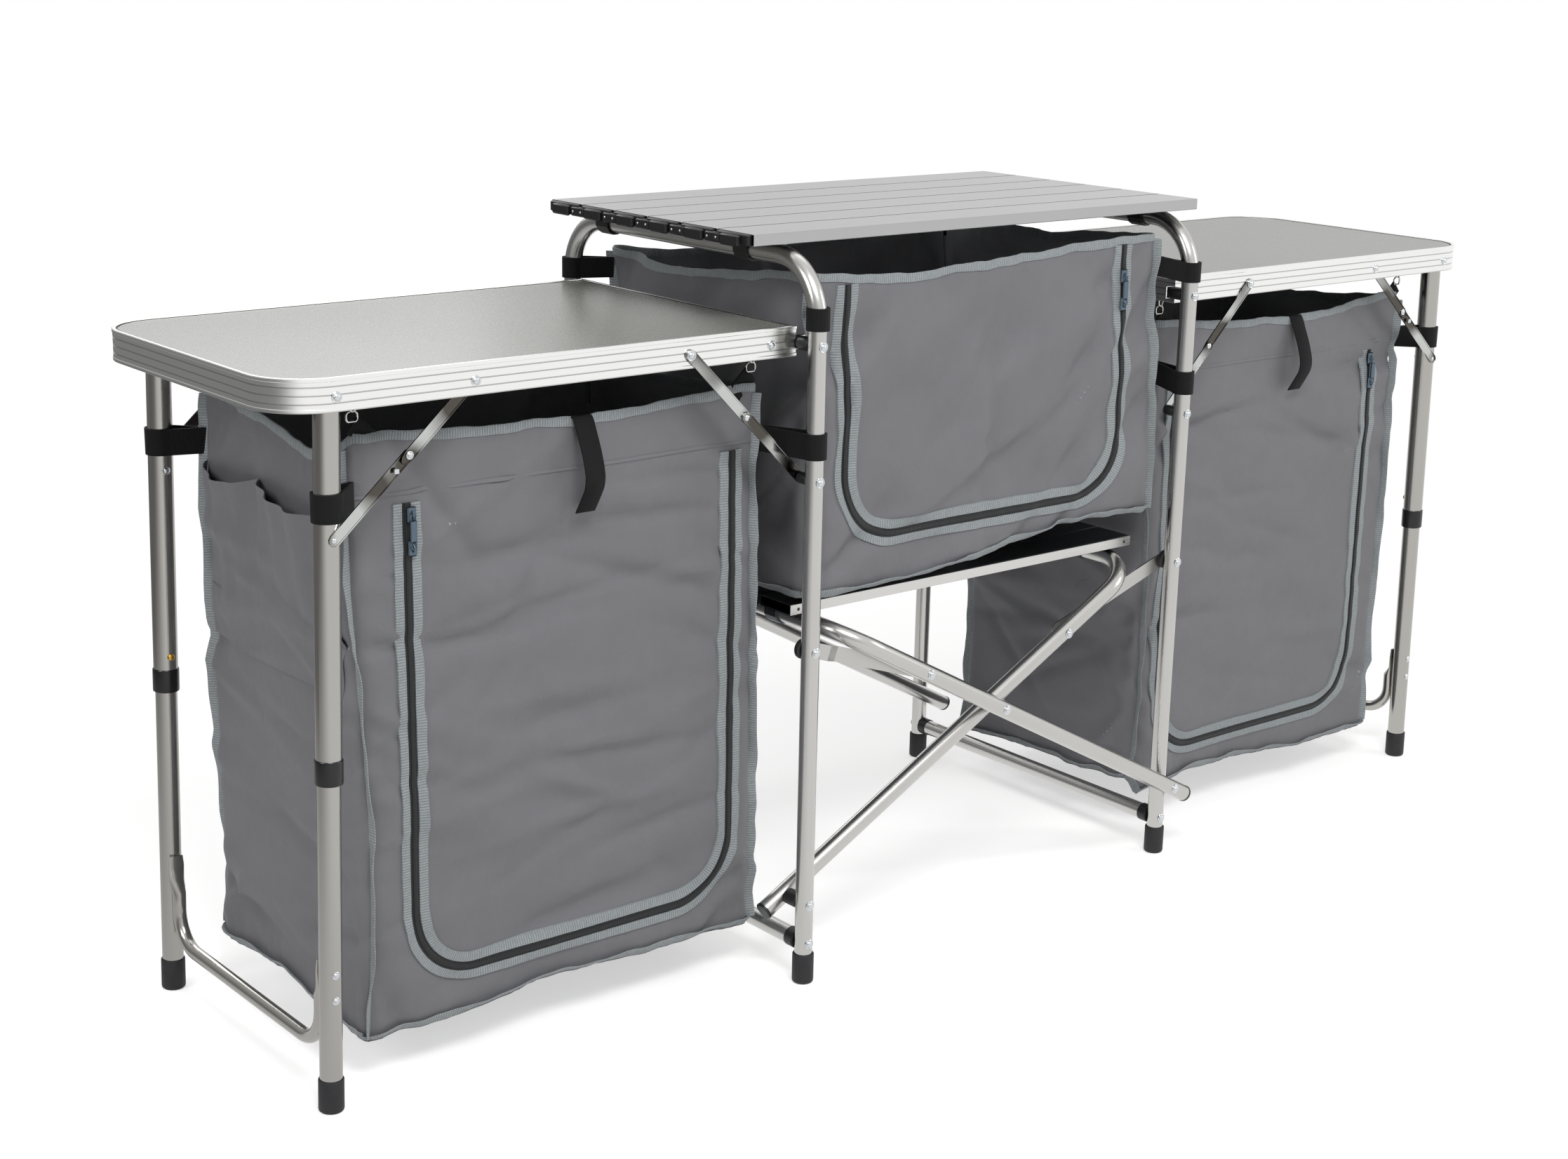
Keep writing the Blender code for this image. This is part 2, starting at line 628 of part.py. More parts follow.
def build_frame(side, name):
    x = side * HALF_SPAN
    front = RIGHT_FRONT_Y if side > 0 else LEFT_FRONT_Y
    back = front + FRAME_DEPTH
    item = make_node(name + "_frame_tube", frame_tube(side, front, back), ALUMINIUM)
    combine(item, name + "_frame_bosses", frame_bosses(side, front, back), "UNION")
    rail_path = [(x, front + SURFACE, RAIL_HEIGHT), (x, back - SURFACE, RAIL_HEIGHT)]
    rail = tube(rail_path, (1, 0, 0), FRAME_RADIUS, FRAME_WALL)
    make_node(name + "_frame_rail", rail, ALUMINIUM)
    profile = boot(SURFACE, FRAME_RADIUS + FOOT_WALL, FOOT_HEIGHT)
    for y, place in ((front, "_front"), (back, "_rear")):
        foot = turned(profile, (x, y, 0), (0, 0, 1), RING_SIDES)
        make_node(name + "_frame_foot" + place, foot, BLACK_RUBBER)
    for y, place in zip((CLIP_FRONT_Y, CLIP_BACK_Y), ("_front", "_rear")):
        make_node(name + "_saddle_clip" + place, saddle_clip(x, y), BLACK_PLASTIC)


build_frame(-1, "left")
build_frame(1, "right")


# Crossed arms: two U-shaped tubes, each pinned to one centre frame.
def arm_line(side):
    """Direction and pivot of an arm; side -1 starts on the left frame."""
    direction = np.array([math.cos(ARM_ANGLE) * -side, math.sin(ARM_ANGLE)])
    pivot = np.array([side * HALF_SPAN, ARM_PIVOT_HEIGHT])
    return direction, pivot


def on_arm(side, distance):
    direction, pivot = arm_line(side)
    return pivot + direction * distance


def arm_tube(side, front):
    direction, pivot = arm_line(side)
    low = pivot - direction * ARM_OVERHANG
    high = pivot + direction * ARM_LENGTH
    back = front + FRAME_DEPTH
    corners = [(low[0], front, low[1]), (high[0], front, high[1])]
    corners += [(high[0], back, high[1]), (low[0], back, low[1])]
    normal = (-direction[1], 0, direction[0])
    return tube(bent_path(corners, ARM_BEND), normal, FRAME_RADIUS, FRAME_WALL)


def bar_sleeves(x, inner, outer):
    """Two plastic sleeves round a cross bar, which carry the shelf."""
    shapes = []
    for middle in SLEEVE_Y:
        start = middle - SLEEVE_WIDTH / 2
        end = middle + SLEEVE_WIDTH / 2
        shapes.append(sleeve((x, 0, BAR_HEIGHT), (0, 1, 0), inner, outer, start, end))
    return joined(*shapes)


PIVOT_A = (-HALF_SPAN, 0, ARM_PIVOT_HEIGHT)
PIVOT_CROSSING = (0, 0, CROSSING_HEIGHT)
SLEEVE_RADIUS = SURFACE + SLEEVE_WALL

arm_a = make_node("arm_a_tube", arm_tube(-1, ARM_A_FRONT_Y), ALUMINIUM, PIVOT_A)
combine(arm_a, "arm_a_sleeves", bar_sleeves(BAR_X, BOSS_ROOT, SLEEVE_RADIUS), "UNION")

arm_b = make_node("arm_b_tube", arm_tube(1, ARM_B_FRONT_Y), ALUMINIUM, PIVOT_CROSSING)
spacers = []
spacer_end = ARM_A_OFFSET - ARM_B_OFFSET - SURFACE
for arm_y in (ARM_B_FRONT_Y, ARM_B_FRONT_Y + FRAME_DEPTH):
    crossing = (0, arm_y, CROSSING_HEIGHT)
    spacers.append(disc(crossing, (0, 1, 0), ARM_BOSS_RADIUS, BOSS_ROOT, spacer_end))
combine(arm_b, "crossing_spacers", joined(*spacers), "UNION")

link_on_a = on_arm(-1, ARM_TO_CROSSING + CROSSING_TO_LINK)
link_on_b = on_arm(1, ARM_TO_CROSSING + CROSSING_TO_LINK)
LINK_CRANK = (LINK_CRANK_START, LINK_CRANK_END, LINK_FAR_OFFSET - LINK_NEAR_OFFSET)
for depth, place in ((0, "_front"), (FRAME_DEPTH, "_rear")):
    near = LEFT_FRONT_Y + LINK_NEAR_OFFSET + depth
    start = (-HALF_SPAN, LINK_PIVOT_HEIGHT)
    bar = flat_bar(start, link_on_b, LINK_WIDTH, near, near + LINK_THICK, LINK_CRANK)
    make_node("left_link" + place, bar, ALUMINIUM, (start[0], near, start[1]))
    near = RIGHT_FRONT_Y + RIGHT_LINK_OFFSET + depth
    start = (HALF_SPAN, LINK_PIVOT_HEIGHT)
    bar = flat_bar(start, link_on_a, LINK_WIDTH, near, near + LINK_THICK)
    make_node("right_link" + place, bar, ALUMINIUM, (start[0], near, start[1]))


# Slat roll top and slat shelf: hollow slats side by side, joined by thin webs.
def slat_panel(left, right, front, bottom, width, height, count):
    """Outline of all slats in one, with a groove above and below each joint."""
    pitch = width + SLAT_GAP
    upper = []
    lower = []
    web_low = bottom + height / 2 - SLAT_WALL / 2
    web_high = web_low + SLAT_WALL
    for index in range(count):
        near = front + index * pitch
        far = near + width
        lower += [(near, bottom + SLAT_EDGE), (near + SLAT_EDGE, bottom)]
        lower += [(far - SLAT_EDGE, bottom), (far, bottom + SLAT_EDGE)]
        top = bottom + height
        upper += [(near, top - SLAT_EDGE), (near + SLAT_EDGE, top)]
        upper += [(far - SLAT_EDGE, top), (far, top - SLAT_EDGE)]
        if index < count - 1:
            lower += [(far, web_low), (far + SLAT_GAP, web_low)]
            upper += [(far, web_high), (far + SLAT_GAP, web_high)]
    return prism(lower + upper[::-1], section_along_x, left, right)


def slat_cavities(left, right, front, bottom, width, height, count):
    shapes = []
    for index in range(count):
        near = front + index * (width + SLAT_GAP)
        low = (left - SLAT_CUT_PAST, near + SLAT_WALL, bottom + SLAT_WALL)
        high = (right + SLAT_CUT_PAST, near + width - SLAT_WALL, bottom + height - SLAT_WALL)
        shapes.append(box(low, high))
    return joined(*shapes)


TOP_SIZES = (TOP_LEFT, TOP_RIGHT, TOP_FRONT, FRAME_TOP + CLIP_HALF + GAP, TOP_SLAT_WIDTH)
TOP_SIZES += (SLAT_HEIGHT, SLAT_COUNT)
top_panel = make_node("slat_top", slat_panel(*TOP_SIZES), ALUMINIUM, smooth=False)
combine(top_panel, "slat_top_cavities", slat_cavities(*TOP_SIZES), "DIFFERENCE")

SHELF_BOTTOM = BAR_HEIGHT + SLEEVE_RADIUS + GAP
SHELF_SIZES = (-SHELF_HALF_LENGTH, SHELF_HALF_LENGTH, SHELF_FRONT, SHELF_BOTTOM)
SHELF_SIZES += (SHELF_SLAT_WIDTH, SLAT_HEIGHT, SLAT_COUNT)
shelf_pivot = (-BAR_X, 0, BAR_HEIGHT)
shelf = make_node("slat_shelf", slat_panel(*SHELF_SIZES), ALUMINIUM, shelf_pivot, smooth=False)
combine(shelf, "slat_shelf_cavities", slat_cavities(*SHELF_SIZES), "DIFFERENCE")
shelf_rings = bar_sleeves(-BAR_X, SURFACE, SLEEVE_RADIUS + GAP + SLAT_WALL * 0.75)
combine(shelf, "slat_shelf_clips", shelf_rings, "UNION")


# Side tables: laminated board in a ribbed trim with rounded outer corners.
def table_outline():
    low = (TABLE_INNER, -HALF_TABLE)
    high = (TABLE_OUTER, HALF_TABLE)
    return rounded_outline(low, high, (0, TABLE_CORNER, TABLE_CORNER, 0), CORNER_STEPS)


BOARD_TOP = TABLE_TOP - LIP_ABOVE_BOARD
LEDGE_TOP = BOARD_TOP - BOARD_THICK - GAP


def trim_shape():
    """Ribbed extrusion with a ledge for the board, run round the table."""
    outline = table_outline()
    lower_rib = TRIM_BOTTOM + LOWER_RIB_UP
    upper_rib = TABLE_TOP - UPPER_RIB_DOWN
    section = [(0.0, TRIM_BOTTOM)]
    for rib in (lower_rib, upper_rib):
        section += [(0.0, rib - RIB_HALF), (RIB_DEPTH, rib - RIB_HALF / 2)]
        section += [(RIB_DEPTH, rib + RIB_HALF / 2), (0.0, rib + RIB_HALF)]
    section += [
        (0.0, TABLE_TOP),
        (TRIM_LIP, TABLE_TOP),
        (TRIM_LIP, LEDGE_TOP),
        (BOARD_LEDGE, LEDGE_TOP),
        (BOARD_LEDGE, LEDGE_TOP - LEDGE_THICK),
        (TRIM_WALL, LEDGE_TOP - LEDGE_THICK),
        (TRIM_WALL, TRIM_BOTTOM),
    ]
    rings = []
    for depth, z in section:
        flat = mitre_offset(outline, depth)
        rings.append(np.column_stack([flat, np.full(len(flat), z)]))
    faces = rings_to_faces(len(section), len(outline), True)
    return outward((np.vstack(rings), faces))


def board_shape():
    outline = mitre_offset(table_outline(), TRIM_LIP + GAP)
    return prism(outline, lambda p: p, BOARD_TOP - BOARD_THICK, BOARD_TOP)


def hinge_plates():
    """Plates behind the trim that reach to the hinge, with a hole for its pin."""
    shapes = []
    for front in (-1, 1):
        overlap_y = front * (TRIM_INNER_FACE + TRIM_WALL / 2)
        inner_y = front * (TRIM_INNER_FACE - BRACKET_THICK)
        near = min(inner_y, overlap_y)
        far = max(inner_y, overlap_y)
        start = (TABLE_INNER + TRIM_WALL / 2, PIVOT_HEIGHT)
        end = (HALF_SPAN + BRACKET_LENGTH, PIVOT_HEIGHT)
        shapes.append(flat_bar(start, end, BRACKET_WIDTH, near, far))
    return joined(*shapes)


def trim_pins():
    """Pivot pins inside the trim for the legs and for the leg struts."""
    shapes = []
    root = TRIM_INNER_FACE + TRIM_WALL / 2
    leg_end = LEG_OFFSET + LEG_UPPER_RADIUS + GAP
    strut_end = TRIM_INNER_FACE - RIVET_ROOM + GAP
    for front in (-1, 1):
        leg_pivot = (LEG_PIVOT_X, 0, PIVOT_HEIGHT)
        shapes.append(disc(leg_pivot, (0, front, 0), LEG_PIN_RADIUS, leg_end, root))
        strut_pivot = (LEG_PIVOT_X - LEG_STRUT_ON_TABLE, 0, PIVOT_HEIGHT)
        shapes.append(disc(strut_pivot, (0, front, 0), STRUT_PIN_RADIUS, strut_end, root))
    return joined(*shapes)


# Telescopic legs, leaning outwards: places run across and down the leg.
def leg_spot(across, y, down):
    across = np.asarray(across, float)
    down = np.asarray(down, float)
    x = LEG_PIVOT_X + down * math.sin(LEG_SPLAY) + across * math.cos(LEG_SPLAY)
    z = PIVOT_HEIGHT - down * math.cos(LEG_SPLAY) + across * math.sin(LEG_SPLAY)
    return np.stack([x, np.broadcast_to(y, x.shape), z], axis=-1)


def leg_axis(y, down):
    return leg_spot(np.array([0.0]), y, np.array([down]))[0]


LEG_DOWN = np.array([math.sin(LEG_SPLAY), 0.0, -math.cos(LEG_SPLAY)])
FOOT_EDGE = FOOT_RADIUS - FOOT_SOFT_EDGE
LEG_LENGTH = (PIVOT_HEIGHT - FOOT_EDGE * math.sin(LEG_SPLAY)) / math.cos(LEG_SPLAY)
UPPER_LEG_END = COLLAR_TO - COLLAR_SOCKET


def leg_tube(radius, y, top, bottom):
    """Hollow leg; without a top distance its end is rounded about the pivot."""
    angles = circle_angles(TUBE_SIDES)
    loops = []
    for size in (radius, radius - LEG_WALL):
        across = size * np.sin(angles)
        depth = y + size * np.cos(angles)
        reach = np.full(TUBE_SIDES, 0.0)
        if top is None:
            reach -= np.sqrt(LEG_TOP_ARCH ** 2 - across ** 2)
        else:
            reach += top
        loops.append((across, depth, reach))
        loops.append((across, depth, np.full(TUBE_SIDES, bottom)))
    ordered = [loops[0], loops[1], loops[3], loops[2]]
    points = [leg_spot(across, depth, down) for across, depth, down in ordered]
    faces = rings_to_faces(4, TUBE_SIDES, True)
    return outward((np.vstack(points), faces))


def collar_shape(y):
    """Ring that closes the lower end of the upper tube round the lower one."""
    bite = LEG_UPPER_RADIUS - LEG_WALL / 2
    lip = (LEG_LOWER_RADIUS + GAP) / math.cos(math.pi / RING_SIDES)
    profile = [
        (bite, COLLAR_FROM),
        (COLLAR_RADIUS, COLLAR_FROM),
        (COLLAR_RADIUS, COLLAR_TO),
        (lip, COLLAR_TO),
        (lip, UPPER_LEG_END - GAP),
        (bite, UPPER_LEG_END - GAP),
    ]
    return turned(profile, leg_axis(y, 0.0), LEG_DOWN, RING_SIDES, closed=True)


def lower_bar():
    """Round bar bent into a shallow U, flattened where it meets the legs."""
    face = LEG_OFFSET - LEG_LOWER_RADIUS + LEG_WALL * 0.6
    end_y = face - BAR_FLAT_HALF_THICK
    run_y = LEG_OFFSET - LEG_LOWER_RADIUS - GAP - BAR_RADIUS
    corners = [(run_y, BAR_FLAT_END), (run_y, BAR_LOWEST), (-run_y, BAR_LOWEST)]
    corners += [(-run_y, BAR_FLAT_END)]
    run = bent_path([np.array([y, 0.0, down]) for y, down in corners], BAR_BEND)
    first = [(end_y, BAR_TOP_FROM_PIVOT), (end_y, BAR_FLAT_END - BAR_NECK)]
    last = [(-y, down) for y, down in reversed(first)]
    track = np.array(first + [(point[0], point[2]) for point in run] + last)
    count = len(track)
    widths = np.full(count, BAR_RADIUS)
    depths = np.full(count, BAR_RADIUS)
    flat = [0, 1, count - 2, count - 1]
    widths[flat] = BAR_FLAT_HALF_WIDTH
    depths[flat] = BAR_FLAT_HALF_THICK
    path = leg_spot(np.zeros(count), 0.0, track[:, 1])
    path[:, 1] = track[:, 0]
    normal = (math.cos(LEG_SPLAY), 0, math.sin(LEG_SPLAY))
    return solid_sweep(path, normal, widths, depths, BAR_SIDES)


def button_shape(y, toward):
    """Brass snap button that stands out of the upper tube on its inner side."""
    profile = [
        (BUTTON_RADIUS, LEG_LOWER_RADIUS + 2 * GAP),
        (BUTTON_RADIUS, LEG_UPPER_RADIUS + BUTTON_STAND / 2),
        (BUTTON_RADIUS * 0.8, LEG_UPPER_RADIUS + BUTTON_STAND * 0.85),
        (BUTTON_RADIUS * 0.4, LEG_UPPER_RADIUS + BUTTON_STAND),
    ]
    return turned(profile, leg_axis(y, BUTTON_FROM_PIVOT), toward, BAR_SIDES)


def button_hole(y, toward, down):
    start = LEG_LOWER_RADIUS / 2
    end = LEG_UPPER_RADIUS + BUTTON_STAND
    return disc(leg_axis(y, down), toward, BUTTON_RADIUS + 2 * GAP, start, end)


# Cupboards: sewn cloth shells, open at the top, with walls of plain thickness.
def bag_shape(low, high, bottom, top, sag):
    """Thin-walled open bag; the rim sags between its corners."""
    outline = rounded_outline(low, high, (BAG_CORNER,) * 4, BAG_CORNER_STEPS)
    middle = (np.asarray(low) + np.asarray(high)) / 2
    half = (np.asarray(high) - np.asarray(low)) / 2
    corner = np.abs((outline - middle) / half).min(axis=1)
    rim = top - sag * (1 - corner)
    floor = np.full(len(outline), bottom)
    levels = (
        (BAG_TUCK, floor),
        (0.0, floor + BAG_TUCK),
        (0.0, rim),
        (BAG_WALL, rim),
        (BAG_WALL, floor + BAG_TUCK),
        (BAG_TUCK + BAG_WALL, floor + BAG_WALL),
    )
    loops = []
    for depth, heights in levels:
        loops.append(np.column_stack([mitre_offset(outline, depth), heights]))
    size = len(outline)
    faces = rings_to_faces(len(loops), size, False)
    last = (len(loops) - 1) * size
    faces.append(tuple(reversed(range(size))))
    faces.append(tuple(range(last, last + size)))
    return outward((np.vstack(loops), faces))


def strap_loop(leg, radius, place, low, high):
    """Webbing loop round a leg."""
    angles = circle_angles(SADDLE_SIDES)
    spots = np.stack([np.cos(angles), np.sin(angles)], axis=1)
    inner = np.asarray(leg) + spots * radius / math.cos(math.pi / SADDLE_SIDES)
    outer = np.asarray(leg) + spots * (radius + WEBBING) / math.cos(math.pi / SADDLE_SIDES)
    return ring_prism(outer, inner, place, low, high)


def strap_tab(leg, corner, radius, low, high):
    """Doubled webbing from the loop to the bag, which it reaches into."""
    leg = np.asarray(leg, float)
    corner = np.asarray(corner, float)
    along = (corner - leg) / np.linalg.norm(corner - leg)
    across = np.array([-along[1], along[0]]) * WEBBING
    start = leg + along * (radius + WEBBING / 2)
    end = corner + along * BAG_WALL * 0.75
    outline = [start - across, end - across, end + across, start + across]
    return prism(outline, lambda p: p, low, high)


def bag_corner(x, y, inward_x, inward_y):
    """Middle of a rounded corner of the bag, seen from above."""
    inset = BAG_CORNER * (1 - math.sqrt(0.5))
    return (x + inward_x * inset, y + inward_y * inset)


def strap_side_bag(item, side, name):
    """Loops round the legs of the U frame and round the telescopic legs."""
    middle = (SIDE_STRAP_LOW + SIDE_STRAP_HIGH) / 2
    drop = (PIVOT_HEIGHT - middle) / math.cos(LEG_SPLAY)
    half = (SIDE_STRAP_HIGH - SIDE_STRAP_LOW) / 2
    outer_leg = leg_axis(0.0, drop)
    for front, place in ((-1, "_front"), (1, "_rear")):
        leg = (HALF_SPAN, front * FRAME_DEPTH / 2)
        edge = front * SIDE_BAG_HALF_DEPTH
        loop = strap_loop(leg, SURFACE, lambda p: p, SIDE_STRAP_LOW, SIDE_STRAP_HIGH)
        combine(item, name + "_inner_loop" + place, on_side(loop, side), "UNION")
        corner = bag_corner(SIDE_BAG_INNER, edge, 1, -front)
        tab = strap_tab(leg, corner, SURFACE, SIDE_STRAP_LOW, SIDE_STRAP_HIGH)
        combine(item, name + "_inner_tab" + place, on_side(tab, side), "UNION")
        leg = (0.0, front * LEG_OFFSET)
        radius = LEG_UPPER_RADIUS + GAP
        loop = strap_loop(leg, radius, along_leg, drop - half, drop + half)
        combine(item, name + "_outer_loop" + place, on_side(loop, side), "UNION")
        corner = bag_corner(SIDE_BAG_OUTER, edge, -1, -front)
        leg = (outer_leg[0], front * LEG_OFFSET)
        low = SIDE_STRAP_LOW + STRAP_TAB_INSET
        high = SIDE_STRAP_HIGH - STRAP_TAB_INSET
        tab = strap_tab(leg, corner, radius, low, high)
        combine(item, name + "_outer_tab" + place, on_side(tab, side), "UNION")


def along_leg(points):
    return np.array([leg_spot(u, v, down) for u, v, down in points])


def strap_centre_bag(item):
    """Loops round the upper ends of the U frames' legs."""
    radius = SURFACE + CENTRE_STRAP_SLACK
    for side, start_y in ((-1, LEFT_FRONT_Y), (1, RIGHT_FRONT_Y)):
        for front, edge in ((-1, CENTRE_BAG_FRONT), (1, CENTRE_BAG_BACK)):
            leg = (side * HALF_SPAN, start_y + (FRAME_DEPTH if front > 0 else 0.0))
            low = CENTRE_STRAP_LOW
            tag = "centre_%d_%d" % (side, front)
            loop = strap_loop(leg, radius, lambda p: p, low, CENTRE_STRAP_HIGH)
            combine(item, tag + "_loop", loop, "UNION")
            corner = bag_corner(side * CENTRE_BAG_HALF, edge, -side, -front)
            tab = strap_tab(leg, corner, radius, low, CENTRE_STRAP_HIGH)
            combine(item, tag + "_tab", tab, "UNION")


def slider_shape(x, y, z):
    """Zip slider with its flat pull hanging down, in front of the bag."""
    wide = SLIDER_WIDTH / 2
    narrow = wide * 0.7
    body = SLIDER_BODY / 2
    outline = [(x - narrow, z - body - SLIDER_PULL), (x + narrow, z - body - SLIDER_PULL)]
    outline += [(x + narrow, z - body), (x + wide, z - body), (x + wide, z + body)]
    outline += [(x - wide, z + body), (x - wide, z - body), (x - narrow, z - body)]
    return prism(outline, section_along_y, y - SLIDER_THICK - GAP, y - GAP)


def build_legs(side, name):
    pivot = (side * LEG_PIVOT_X, 0, PIVOT_HEIGHT)
    bar = make_node(name + "_lower_legs", on_side(lower_bar(), side), ALUMINIUM, pivot)
    holes = []
    for front, place in ((-1, "_front"), (1, "_rear")):
        y = front * LEG_OFFSET
        toward = (0, -front, 0)
        upper = leg_tube(LEG_UPPER_RADIUS, y, None, UPPER_LEG_END)
        item = make_node(name + "_upper_leg" + place, on_side(upper, side), ALUMINIUM, pivot)
        tag = name + place
        combine(item, tag + "_collar", on_side(collar_shape(y), side), "UNION")
        hole = on_side(button_hole(y, toward, BUTTON_FROM_PIVOT), side)
        combine(item, tag + "_button_hole", hole, "DIFFERENCE")
        button = on_side(button_shape(y, toward), side)
        make_node(name + "_button" + place, button, BRASS, pivot)
        lower_end = LEG_LENGTH - FOOT_FLOOR - GAP
        lower = leg_tube(LEG_LOWER_RADIUS, y, LOWER_LEG_TOP, lower_end)
        combine(bar, tag + "_lower_tube", on_side(lower, side), "UNION")
        for spot in (BUTTON_FROM_PIVOT, BUTTON_FROM_PIVOT + LEG_RETRACT):
            holes.append(button_hole(y, toward, spot))
        profile = boot(LEG_LOWER_RADIUS + GAP, FOOT_RADIUS, FOOT_HEIGHT)
        foot = turned(profile, leg_axis(y, LEG_LENGTH), -LEG_DOWN, RING_SIDES)
        make_node(name + "_leg_foot" + place, on_side(foot, side), BLACK_RUBBER, pivot)
    combine(bar, name + "_lower_holes", on_side(joined(*holes), side), "DIFFERENCE")


def build_struts(side, name, on_table, on_leg, knee, planes):
    """Front and rear strut, each in two halves that meet at the knee."""
    upper_in, upper_out, lower_in, lower_out = planes
    end = STRUT_HALF_WIDTH
    for front, place in ((-1, "_front"), (1, "_rear")):
        upper = (front * upper_in, front * upper_out, end, STRUT_KNEE_OVERLAP)
        shape = on_side(channel_strut(on_table, knee, *upper), side)
        pivot = (side * on_table[0], 0, on_table[1])
        make_node(name + "_upper" + place, shape, ZINC, pivot, smooth=False)
        lower = (front * lower_in, front * lower_out, end, end)
        shape = on_side(channel_strut(knee, on_leg, *lower), side)
        pivot = (side * knee[0], 0, knee[1])
        make_node(name + "_lower" + place, shape, ZINC, pivot, smooth=False)


def build_leg_struts(side, name):
    """The unequal halves let the strut fold flat with the leg."""
    on_table = np.array([LEG_PIVOT_X - LEG_STRUT_ON_TABLE, PIVOT_HEIGHT])
    on_leg = leg_axis(0.0, LEG_STRUT_ON_LEG)[[0, 2]]
    span = on_leg - on_table
    reach = np.linalg.norm(span)
    upper_length = (reach - LEG_STRUT_ON_TABLE + LEG_STRUT_ON_LEG) / 2
    knee = on_table + span / reach * upper_length
    upper_out = TRIM_INNER_FACE - RIVET_ROOM
    upper_in = upper_out - STRUT_THICK
    lower_out = upper_in - GAP
    planes = (upper_in, upper_out, lower_out - STRUT_THICK, lower_out)
    build_struts(side, name + "_leg_strut", on_table, on_leg, knee, planes)


def build_frame_struts(side, name):
    """Equal halves outside the trim; the lower end sits behind the U leg."""
    on_table = np.array([HALF_SPAN + FRAME_STRUT_REACH, PIVOT_HEIGHT])
    on_frame = np.array([HALF_SPAN, PIVOT_HEIGHT - FRAME_STRUT_REACH])
    knee = (on_table + on_frame) / 2
    upper_in = HALF_TABLE + GAP
    upper_out = upper_in + STRUT_THICK
    lower_in = upper_out + GAP
    planes = (upper_in, upper_out, lower_in, lower_in + STRUT_THICK)
    build_struts(side, name + "_frame_strut", on_table, on_frame, knee, planes)


def build_side(side, name):
    hinge = (side * HALF_SPAN, 0, PIVOT_HEIGHT)
    make_node(name + "_board", on_side(board_shape(), side), LAMINATE, hinge, smooth=False)
    trim = make_node(name + "_trim", on_side(trim_shape(), side), ALUMINIUM, hinge, smooth=False)
    combine(trim, name + "_hinge_plates", on_side(hinge_plates(), side), "UNION")
    pin_hole = disc(hinge, (0, 1, 0), HINGE_PIN_RADIUS + 2 * GAP, -HALF_SPAN, HALF_SPAN)
    combine(trim, name + "_hinge_hole", pin_hole, "DIFFERENCE")
    combine(trim, name + "_trim_pins", on_side(trim_pins(), side), "UNION")
    build_legs(side, name)
    build_leg_struts(side, name)
    build_frame_struts(side, name)
    low = (SIDE_BAG_INNER, -SIDE_BAG_HALF_DEPTH)
    high = (SIDE_BAG_OUTER, SIDE_BAG_HALF_DEPTH)
    bag = bag_shape(low, high, SIDE_BAG_BOTTOM, SIDE_BAG_TOP, SIDE_BAG_SAG)
    item = make_node(name + "_bag", on_side(bag, side), GREY_CLOTH)
    strap_side_bag(item, side, name)
    slider = slider_shape(SIDE_SLIDER_X, -SIDE_BAG_HALF_DEPTH, SIDE_SLIDER_Z)
    make_node(name + "_zip_slider", on_side(slider, side), ZINC, smooth=False)


build_side(-1, "left")
build_side(1, "right")

centre_low = (-CENTRE_BAG_HALF, CENTRE_BAG_FRONT)
centre_high = (CENTRE_BAG_HALF, CENTRE_BAG_BACK)
centre = bag_shape(centre_low, centre_high, CENTRE_BAG_BOTTOM, CENTRE_BAG_TOP, CENTRE_BAG_SAG)
centre_bag = make_node("centre_bag", centre, GREY_CLOTH)
strap_centre_bag(centre_bag)
centre_slider = slider_shape(CENTRE_SLIDER_X, CENTRE_BAG_FRONT, CENTRE_SLIDER_Z)
make_node("centre_zip_slider", centre_slider, ZINC, smooth=False)
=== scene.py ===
import math

import bpy
import numpy as np
from mathutils import Matrix, Vector


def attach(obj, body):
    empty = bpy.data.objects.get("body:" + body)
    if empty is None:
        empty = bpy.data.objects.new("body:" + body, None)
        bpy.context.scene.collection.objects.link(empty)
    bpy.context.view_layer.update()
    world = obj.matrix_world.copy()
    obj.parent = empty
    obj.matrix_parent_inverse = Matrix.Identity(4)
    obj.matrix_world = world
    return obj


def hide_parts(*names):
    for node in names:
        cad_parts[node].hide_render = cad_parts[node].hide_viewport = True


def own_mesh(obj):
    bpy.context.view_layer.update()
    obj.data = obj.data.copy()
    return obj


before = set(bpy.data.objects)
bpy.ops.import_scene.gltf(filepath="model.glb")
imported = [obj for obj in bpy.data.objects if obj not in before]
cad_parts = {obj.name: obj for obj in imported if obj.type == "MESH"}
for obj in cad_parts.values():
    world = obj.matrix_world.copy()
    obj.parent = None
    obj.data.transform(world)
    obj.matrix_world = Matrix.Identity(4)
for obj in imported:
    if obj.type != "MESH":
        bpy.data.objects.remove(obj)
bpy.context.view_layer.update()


# Camera: the photograph was taken from the front left at about chest height,
# a little above the slat top, with a slight lean of the camera to one side.
YAW = math.radians(39.417)
PITCH = math.radians(-15.366)
LEAN = math.radians(1.18)
look = np.array([math.sin(YAW) * math.cos(PITCH), math.cos(YAW) * math.cos(PITCH), math.sin(PITCH)])
level = np.array([math.cos(YAW), -math.sin(YAW), 0.0])
upright = np.cross(level, look)
right = level * math.cos(LEAN) + upright * math.sin(LEAN)
above = upright * math.cos(LEAN) - level * math.sin(LEAN)
camera_data = bpy.data.cameras.new("photo_camera")
camera_data.sensor_width = 36.0
camera_data.lens = 54.8
camera = bpy.data.objects.new("photo_camera", camera_data)
bpy.context.scene.collection.objects.link(camera)
turn = Matrix([[right[i], above[i], -look[i]] for i in range(3)]).to_4x4()
camera.matrix_world = Matrix.Translation((-2.0560, -2.3082, 1.2413)) @ turn
bpy.context.scene.camera = camera
